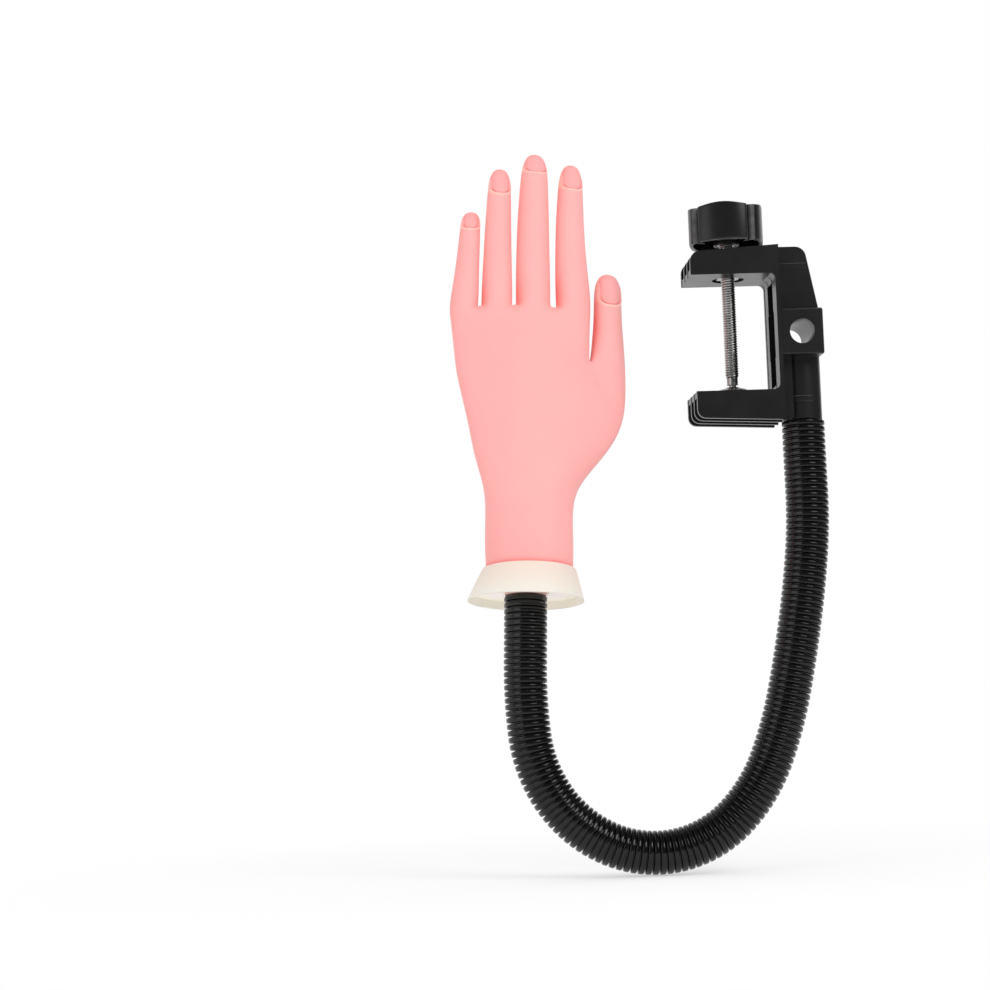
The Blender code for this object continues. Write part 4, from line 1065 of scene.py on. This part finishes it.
hand = {
    "foot": 0.0115,  # where the skin starts, above the cone's rim
    "wristWidth": 0.0446, "wristThickness": 0.0400, "wristFitShare": 0.97, "wristShiftShare": 0.028,
    "palmWidth": 0.0710, "palmHeight": 0.1480, "palmBack": 0.0125, "palmFront": 0.0135,
    "webRises": (0.0110, 0.0125, 0.0095), "flatnessShare": 0.94, "swellShare": 1.08, "palmSwellShare": 1.02,
    "squareShare": 0.35, "curl": 0.0075,
    "tipShare": 0.50, "tipDepthShare": 0.45, "tipDropShare": 0.06,
    "rowShares": (
        # height, left, right, back, front
        (0.200, -0.294, 0.340, 1.46, 1.46), (0.335, -0.282, 0.326, 1.36, 1.36),
        (0.415, -0.310, 0.394, 1.24, 1.32), (0.500, -0.368, 0.552, 1.12, 1.34),
        (0.590, -0.402, 0.678, 1.06, 1.38), (0.690, -0.440, 0.744, 1.02, 1.34),
        (0.765, -0.472, 0.618, 1.02, 1.22), (0.825, -0.490, 0.454, 1.02, 1.12),
        (0.905, -0.506, 0.456, 1.02, 1.04), (1.000, -0.550, 0.466, 0.92, 0.92),
    ),
    "thumbRow": 5,
    "rootShares": (-0.556, -0.450, -0.342, -0.214, -0.086, 0.052, 0.208, 0.336, 0.462),
    "ringShares": (
        # along, then the weights of the root's, the middle's and the nail's width
        (0.055, 0.97, 0.00, 0.00), (0.15, 1.00, 0.00, 0.00),
        (0.40, 0.25, 0.75, 0.00), (0.60, 0.00, 0.75, 0.25),
        (0.80, 0.00, 0.00, 1.00), (0.925, 0.00, 0.00, 0.90),
    ),
    "thumbRingShares": (
        (0.10, 1.00, 0.00, 0.00), (0.45, 0.00, 1.00, 0.00),
        (0.72, 0.00, 0.00, 1.00), (0.90, 0.00, 0.00, 0.92),
    ),
    "thumb": {
        "rootX": 0.0425, "tipX": 0.0427, "rootHeight": 0.1240, "tipHeight": 0.1740, "forward": 0.0040,
        "rootWidth": 0.0182, "middleWidth": 0.0150, "nailWidth": 0.0148,
    },
    "levels": 4,
}
fingers = {
    # reach, x of root, middle and tip, width of root, middle and nail
    "little": (0.0603, -0.0327, -0.0303, -0.0285, 0.0151, 0.0121, 0.0110),
    "ring": (0.0847, -0.0153, -0.0148, -0.0135, 0.0165, 0.0144, 0.0129),
    "middle": (0.0934, 0.0036, 0.0035, 0.0049, 0.0184, 0.0174, 0.0151),
    "index": (0.0878, 0.0248, 0.0227, 0.0239, 0.0186, 0.0155, 0.0137),
}
nails = {
    # height of the cuticle above the cone's rim, turn towards the thumb's side, half angle, corner height
    "little": (0.1969, 3, 51, 0.0032),
    "ring": (0.2165, 8, 52, 0.0042),
    "middle": (0.2286, 12, 54, 0.0038),
    "index": (0.2195, 14, 53, 0.0044),
    "thumb": (0.1556, 16, 54, 0.0054),
}
nailForm = {
    "depth": 0.00050, "edge": 0.00030, "rimHeight": 0.00022, "rimWidth": 0.00050,
    "slitDepth": 0.00045, "slitWidth": 0.00022, "slitPlace": 0.00030, "cornerPower": 2.4,
    "facing": 0.16,  # how squarely the skin faces outwards where the nail ends at the tip
    "longestEdge": 0.00024, "refineReach": 0.0016, "refineRounds": 3,
    "far": 0.01,  # the distance given to points on the digit's other side
    "lowest": -0.006, "reachShare": 1.35,
    "cuticleShares": (0.35, 1.1),  # of the corner's height, over which the cuticle's slit fades
    # where the painted highlight on the rim and the painted shade line in the crease lie and how wide they
    # are, then that line's strength along the sides and at the cuticle
    "rimPlace": 0.0007, "rimSpread": 0.0006, "linePlace": 0.00025, "lineSpread": 0.0003,
    "sideLine": 0.35, "cuticleLine": 0.65,
}
# painted shade on the hand: the flanks away from the thumb, the clefts between the digits and the wrist
# where it meets the cone
paintedShade = {
    "flankEdges": (0.15, 1.1), "fade": 0.020, "handShare": 0.04, "digitShare": 0.14,
    # x and height of the painted red shade at each cleft, on the flank of the digit beyond it, and its
    # strength
    "clefts": (
        (-0.0235, 0.1580, 0.55), (-0.0060, 0.1570, 0.65), (0.0150, 0.1600, 0.65), (0.0350, 0.1440, 0.60),
    ),
    "cleftWidth": 0.0055, "cleftHeight": 0.0110, "wristShare": 0.80, "wristWidth": 0.0018,
}


def palmRing(row, level):
    height, left, right, back, front = row
    middle, half = (left + right) / 2, (right - left) / 2
    roots = hand["rootShares"]
    points = []
    for i in range(20):
        turn = math.radians(162 - 18 * i)
        share = middle + half * math.cos(turn) * hand["palmSwellShare"]
        if i < 9:
            spread = roots[i]
        elif 10 <= i < 19:
            spread = roots[18 - i]
        else:
            spread = right if i == 9 else left
        share += (spread - share) * level
        swell = math.sin(turn)
        swell = math.copysign(abs(swell) ** (1.0 - hand["squareShare"] * level), swell)
        depth = -swell * (hand["palmBack"] * back if swell > 0 else hand["palmFront"] * front)
        points.append(Vector((share * hand["palmWidth"], depth, height * hand["palmHeight"])))
    return points


def fingerRing(cage, centre, width, thickness):
    ring = []
    for i in range(8):
        turn = math.radians(135 - 45 * i)
        across = math.cos(turn) * width / 2 * hand["swellShare"]
        depth = -math.sin(turn) * thickness / 2 * hand["swellShare"]
        ring.append(cage.verts.new(centre + Vector((across, depth, 0.0))))
    return ring


def bridge(cage, lower, upper):
    for i in range(len(lower)):
        j = (i + 1) % len(lower)
        cage.faces.new((lower[i], lower[j], upper[j], upper[i]))


def tipRing(tip, nailWidth):
    drop = Vector((0.0, 0.0, nailWidth * hand["tipDropShare"]))
    return tip - drop, nailWidth * hand["tipShare"], nailWidth * hand["tipDepthShare"]


def fingerAxis(digit, z):
    # x and y of a digit's middle line at a height above the cone's rim
    if digit == "thumb":
        facts = hand["thumb"]
        along = (z - facts["rootHeight"]) / (facts["tipHeight"] - facts["rootHeight"])
        return facts["rootX"] + (facts["tipX"] - facts["rootX"]) * along, np.full_like(z, facts["forward"])
    reach, rootX, middleX, tipX = fingers[digit][:4]
    along = (z - hand["palmHeight"]) / reach
    low = rootX + (middleX - rootX) * along * 2
    high = middleX + (tipX - middleX) * (along * 2 - 1)
    return np.where(along < 0.5, low, high), hand["curl"] * along**2


def digitRings(digit):
    if digit == "thumb":
        facts = hand["thumb"]
        widths = facts["rootWidth"], facts["middleWidth"], facts["nailWidth"]
        shares, low, high = hand["thumbRingShares"], facts["rootHeight"], facts["tipHeight"]
    else:
        widths = fingers[digit][4:]
        shares, low, high = hand["ringShares"], hand["palmHeight"], hand["palmHeight"] + fingers[digit][0]
    rings = []
    for along, *weights in shares:
        width = sum(w * size for w, size in zip(weights, widths))
        z = low + (high - low) * along
        x, y = fingerAxis(digit, z)
        rings.append((Vector((float(x), float(y), z)), width, width * hand["flatnessShare"]))
    x, y = fingerAxis(digit, high)
    rings.append(tipRing(Vector((float(x), float(y), high)), widths[2]))
    return rings, widths[2]


def growDigit(cage, base, digit):
    rings, nailWidth = digitRings(digit)
    below = base
    for centre, width, thickness in rings:
        ring = fingerRing(cage, centre, width, thickness)
        bridge(cage, below, ring)
        below = ring
    peak = cage.verts.new(rings[-1][0] + Vector((0.0, 0.0, nailWidth * hand["tipDropShare"])))
    for i in (0, 2, 4, 6):
        cage.faces.new((below[i], below[i + 1], below[(i + 2) % 8], peak))


def makeCage():
    cage = bmesh.new()
    wristShare = hand["wristWidth"] / hand["palmWidth"] / 2 * hand["wristFitShare"]
    backShare = hand["wristThickness"] / 2 / hand["palmBack"]
    frontShare = hand["wristThickness"] / 2 / hand["palmFront"]
    shift = hand["wristShiftShare"]
    foot = (hand["foot"] / hand["palmHeight"], shift - wristShare, shift + wristShare, backShare, frontShare)
    rows = [foot, *hand["rowShares"]]
    rings = []
    for number, row in enumerate(rows):
        level = max(0.0, (number - 5) / (len(rows) - 6))
        rings.append([cage.verts.new(point) for point in palmRing(row, level)])
    patch = hand["thumbRow"] + 1
    for number, (lower, upper) in enumerate(zip(rings[:-1], rings[1:])):
        for i in range(20):
            if patch <= number < patch + 2 and i in (8, 9):
                continue
            j = (i + 1) % 20
            cage.faces.new((lower[i], lower[j], upper[j], upper[i]))
    low, middle, high = rings[patch], rings[patch + 1], rings[patch + 2]
    cage.verts.remove(middle[9])
    growDigit(cage, [high[8], middle[8], low[8], low[9], low[10], middle[10], high[10], high[9]], "thumb")
    top = rings[-1]
    webs = [top[19]]
    for number in range(1, 4):
        between = (top[number * 2].co + top[18 - number * 2].co) / 2
        webs.append(cage.verts.new(between + Vector((0.0, 0.0, hand["webRises"][number - 1]))))
    webs.append(top[9])
    for number, digit in enumerate(fingers):
        first = number * 2
        back = [top[first], top[first + 1], top[first + 2]]
        front = [top[16 - first], top[17 - first], top[18 - first]]
        growDigit(cage, [*back, webs[number + 1], *front, webs[number]], digit)
    cage.faces.new(list(reversed(rings[0])))
    crease = cage.edges.layers.float.new("crease_edge")
    for i in range(20):
        cage.edges.get((rings[0][i], rings[0][(i + 1) % 20]))[crease] = 1.0
    bmesh.ops.recalc_face_normals(cage, faces=cage.faces)
    return cage


def subdivided(cage, levels):
    mesh = bpy.data.meshes.new("handCage")
    cage.to_mesh(mesh)
    cage.free()
    carrier = bpy.data.objects.new("handCage", mesh)
    bpy.context.collection.objects.link(carrier)
    soft = carrier.modifiers.new("soft", "SUBSURF")
    soft.levels = levels
    soft.render_levels = levels
    return bakedMesh(carrier)


def meshArrays(mesh):
    places = np.zeros(len(mesh.vertices) * 3)
    normals = np.zeros(len(mesh.vertices) * 3)
    mesh.vertices.foreach_get("co", places)
    mesh.vertices.foreach_get("normal", normals)
    return places.reshape(-1, 3), normals.reshape(-1, 3)


def smoothStep(value, low, high):
    share = np.clip((value - low) / (high - low), 0, 1)
    return share * share * (3 - 2 * share)


def nailDistance(digit, places, normals):
    # signed distance to the nail's outline, below zero on the nail, and the height above the cuticle
    cuticle, turn, halfAngle, corner = nails[digit]
    radius = digitRings(digit)[1] / 2
    x, y = fingerAxis(digit, places[:, 2])
    t = math.radians(turn)
    dx, dy = places[:, 0] - x, places[:, 1] - y
    across = dx * math.cos(t) + dy * math.sin(t)
    outward = dx * math.sin(t) - dy * math.cos(t)
    facing = normals[:, 0] * math.sin(t) - normals[:, 1] * math.cos(t)
    rise = places[:, 2] - cuticle
    half = radius * math.sin(math.radians(halfAngle))
    power = nailForm["cornerPower"]
    low = np.clip((corner - rise) / corner, 0, None)
    reach = ((np.abs(across) / half) ** power + low**power) ** (1 / power)
    distance = (reach - 1) * np.where(low > 0, (half + corner) / 2, half)
    distance = np.maximum(distance, (nailForm["facing"] - facing) * radius)
    far = nailForm["far"]
    distance = np.where(outward > 0, distance, far)
    distance = np.where(rise > nailForm["lowest"], distance, far)
    near = np.hypot(dx, dy) < radius * nailForm["reachShare"]
    return np.where(near, distance, far), rise


def refineNails(mesh):
    # splits the edges round each nail until they are short enough to carry its outline
    reach = nailForm["refineReach"]
    for _ in range(nailForm["refineRounds"]):
        places, normals = meshArrays(mesh)
        wanted = np.zeros(len(places), bool)
        for digit in nails:
            distance = nailDistance(digit, places, normals)[0]
            wanted |= (distance > -reach) & (distance < reach)
        solid = bmesh.new()
        solid.from_mesh(mesh)
        solid.verts.ensure_lookup_table()
        edges = [
            e for e in solid.edges
            if wanted[e.verts[0].index] and wanted[e.verts[1].index]
            and e.calc_length() > nailForm["longestEdge"]
        ]
        bmesh.ops.subdivide_edges(solid, edges=edges, cuts=1, use_grid_fill=True)
        solid.to_mesh(mesh)
        solid.free()


def shapeNails(mesh):
    places, normals = meshArrays(mesh)
    push = np.zeros(len(places))
    nailMask, rimHighlightMask, creaseShadeMask = np.zeros((3, len(places)))
    form = nailForm
    for digit in nails:
        distance, rise = nailDistance(digit, places, normals)
        corner = nails[digit][3]
        start, end = (share * corner for share in form["cuticleShares"])
        inside = 1 - smoothStep(distance, -form["edge"], 0.0)
        push -= inside * form["depth"]
        rim = np.exp(-(((distance - form["rimWidth"]) / form["rimWidth"]) ** 2))
        push += rim * form["rimHeight"]
        atCuticle = 1 - smoothStep(rise, start, end)
        slit = np.exp(-(((distance + form["slitPlace"]) / form["slitWidth"]) ** 2))
        push -= slit * atCuticle * form["slitDepth"]
        nailMask = np.maximum(nailMask, inside)
        # painted highlight on the rim outside the outline and painted shade in the crease just inside it
        rimHighlightMask = np.maximum(rimHighlightMask, np.exp(-(((distance - form["rimPlace"]) / form["rimSpread"]) ** 2)))
        line = np.exp(-(((distance + form["linePlace"]) / form["lineSpread"]) ** 2))
        creaseShadeMask = np.maximum(creaseShadeMask, line * (form["sideLine"] + form["cuticleLine"] * atCuticle))
    places += normals * push[:, None]
    mesh.vertices.foreach_set("co", places.ravel())
    setMask(mesh, "nailMask", nailMask)
    setMask(mesh, "rimHighlightMask", rimHighlightMask)
    setMask(mesh, "creaseShadeMask", creaseShadeMask)


def paintedShadeOf(places, normals):
    # painted shade: pinker on the flanks away from the thumb, red low on them between the digits and round
    # the wrist
    facts = paintedShade
    flank = smoothStep(-normals[:, 0], *facts["flankEdges"])
    height = places[:, 2]
    digits = smoothStep(height, hand["palmHeight"] - facts["fade"], hand["palmHeight"])
    value = flank * (facts["handShare"] + facts["digitShare"] * digits)
    for x, z, strength in facts["clefts"]:
        away = ((places[:, 0] - x) / facts["cleftWidth"]) ** 2 + ((height - z) / facts["cleftHeight"]) ** 2
        value += strength * flank * np.exp(-away)
    value += facts["wristShare"] * np.exp(-(((height - wrist["coneHeight"]) / facts["wristWidth"]) ** 2))
    return np.clip(value, 0, 1)


def makeHand():
    fine = subdivided(makeCage(), hand["levels"])
    refineNails(fine)
    shapeNails(fine)
    setMask(fine, "paintedShadeMask", paintedShadeOf(*meshArrays(fine)))
    fine.transform(handPlace)
    fine.name = "softHand"
    fine.shade_smooth()
    piece = addPiece("softHand", fine, "skin_pink", ["hand_skin"])
    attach(piece, "hand")
    print("hand made of", len(fine.vertices), "points")


makeHand()
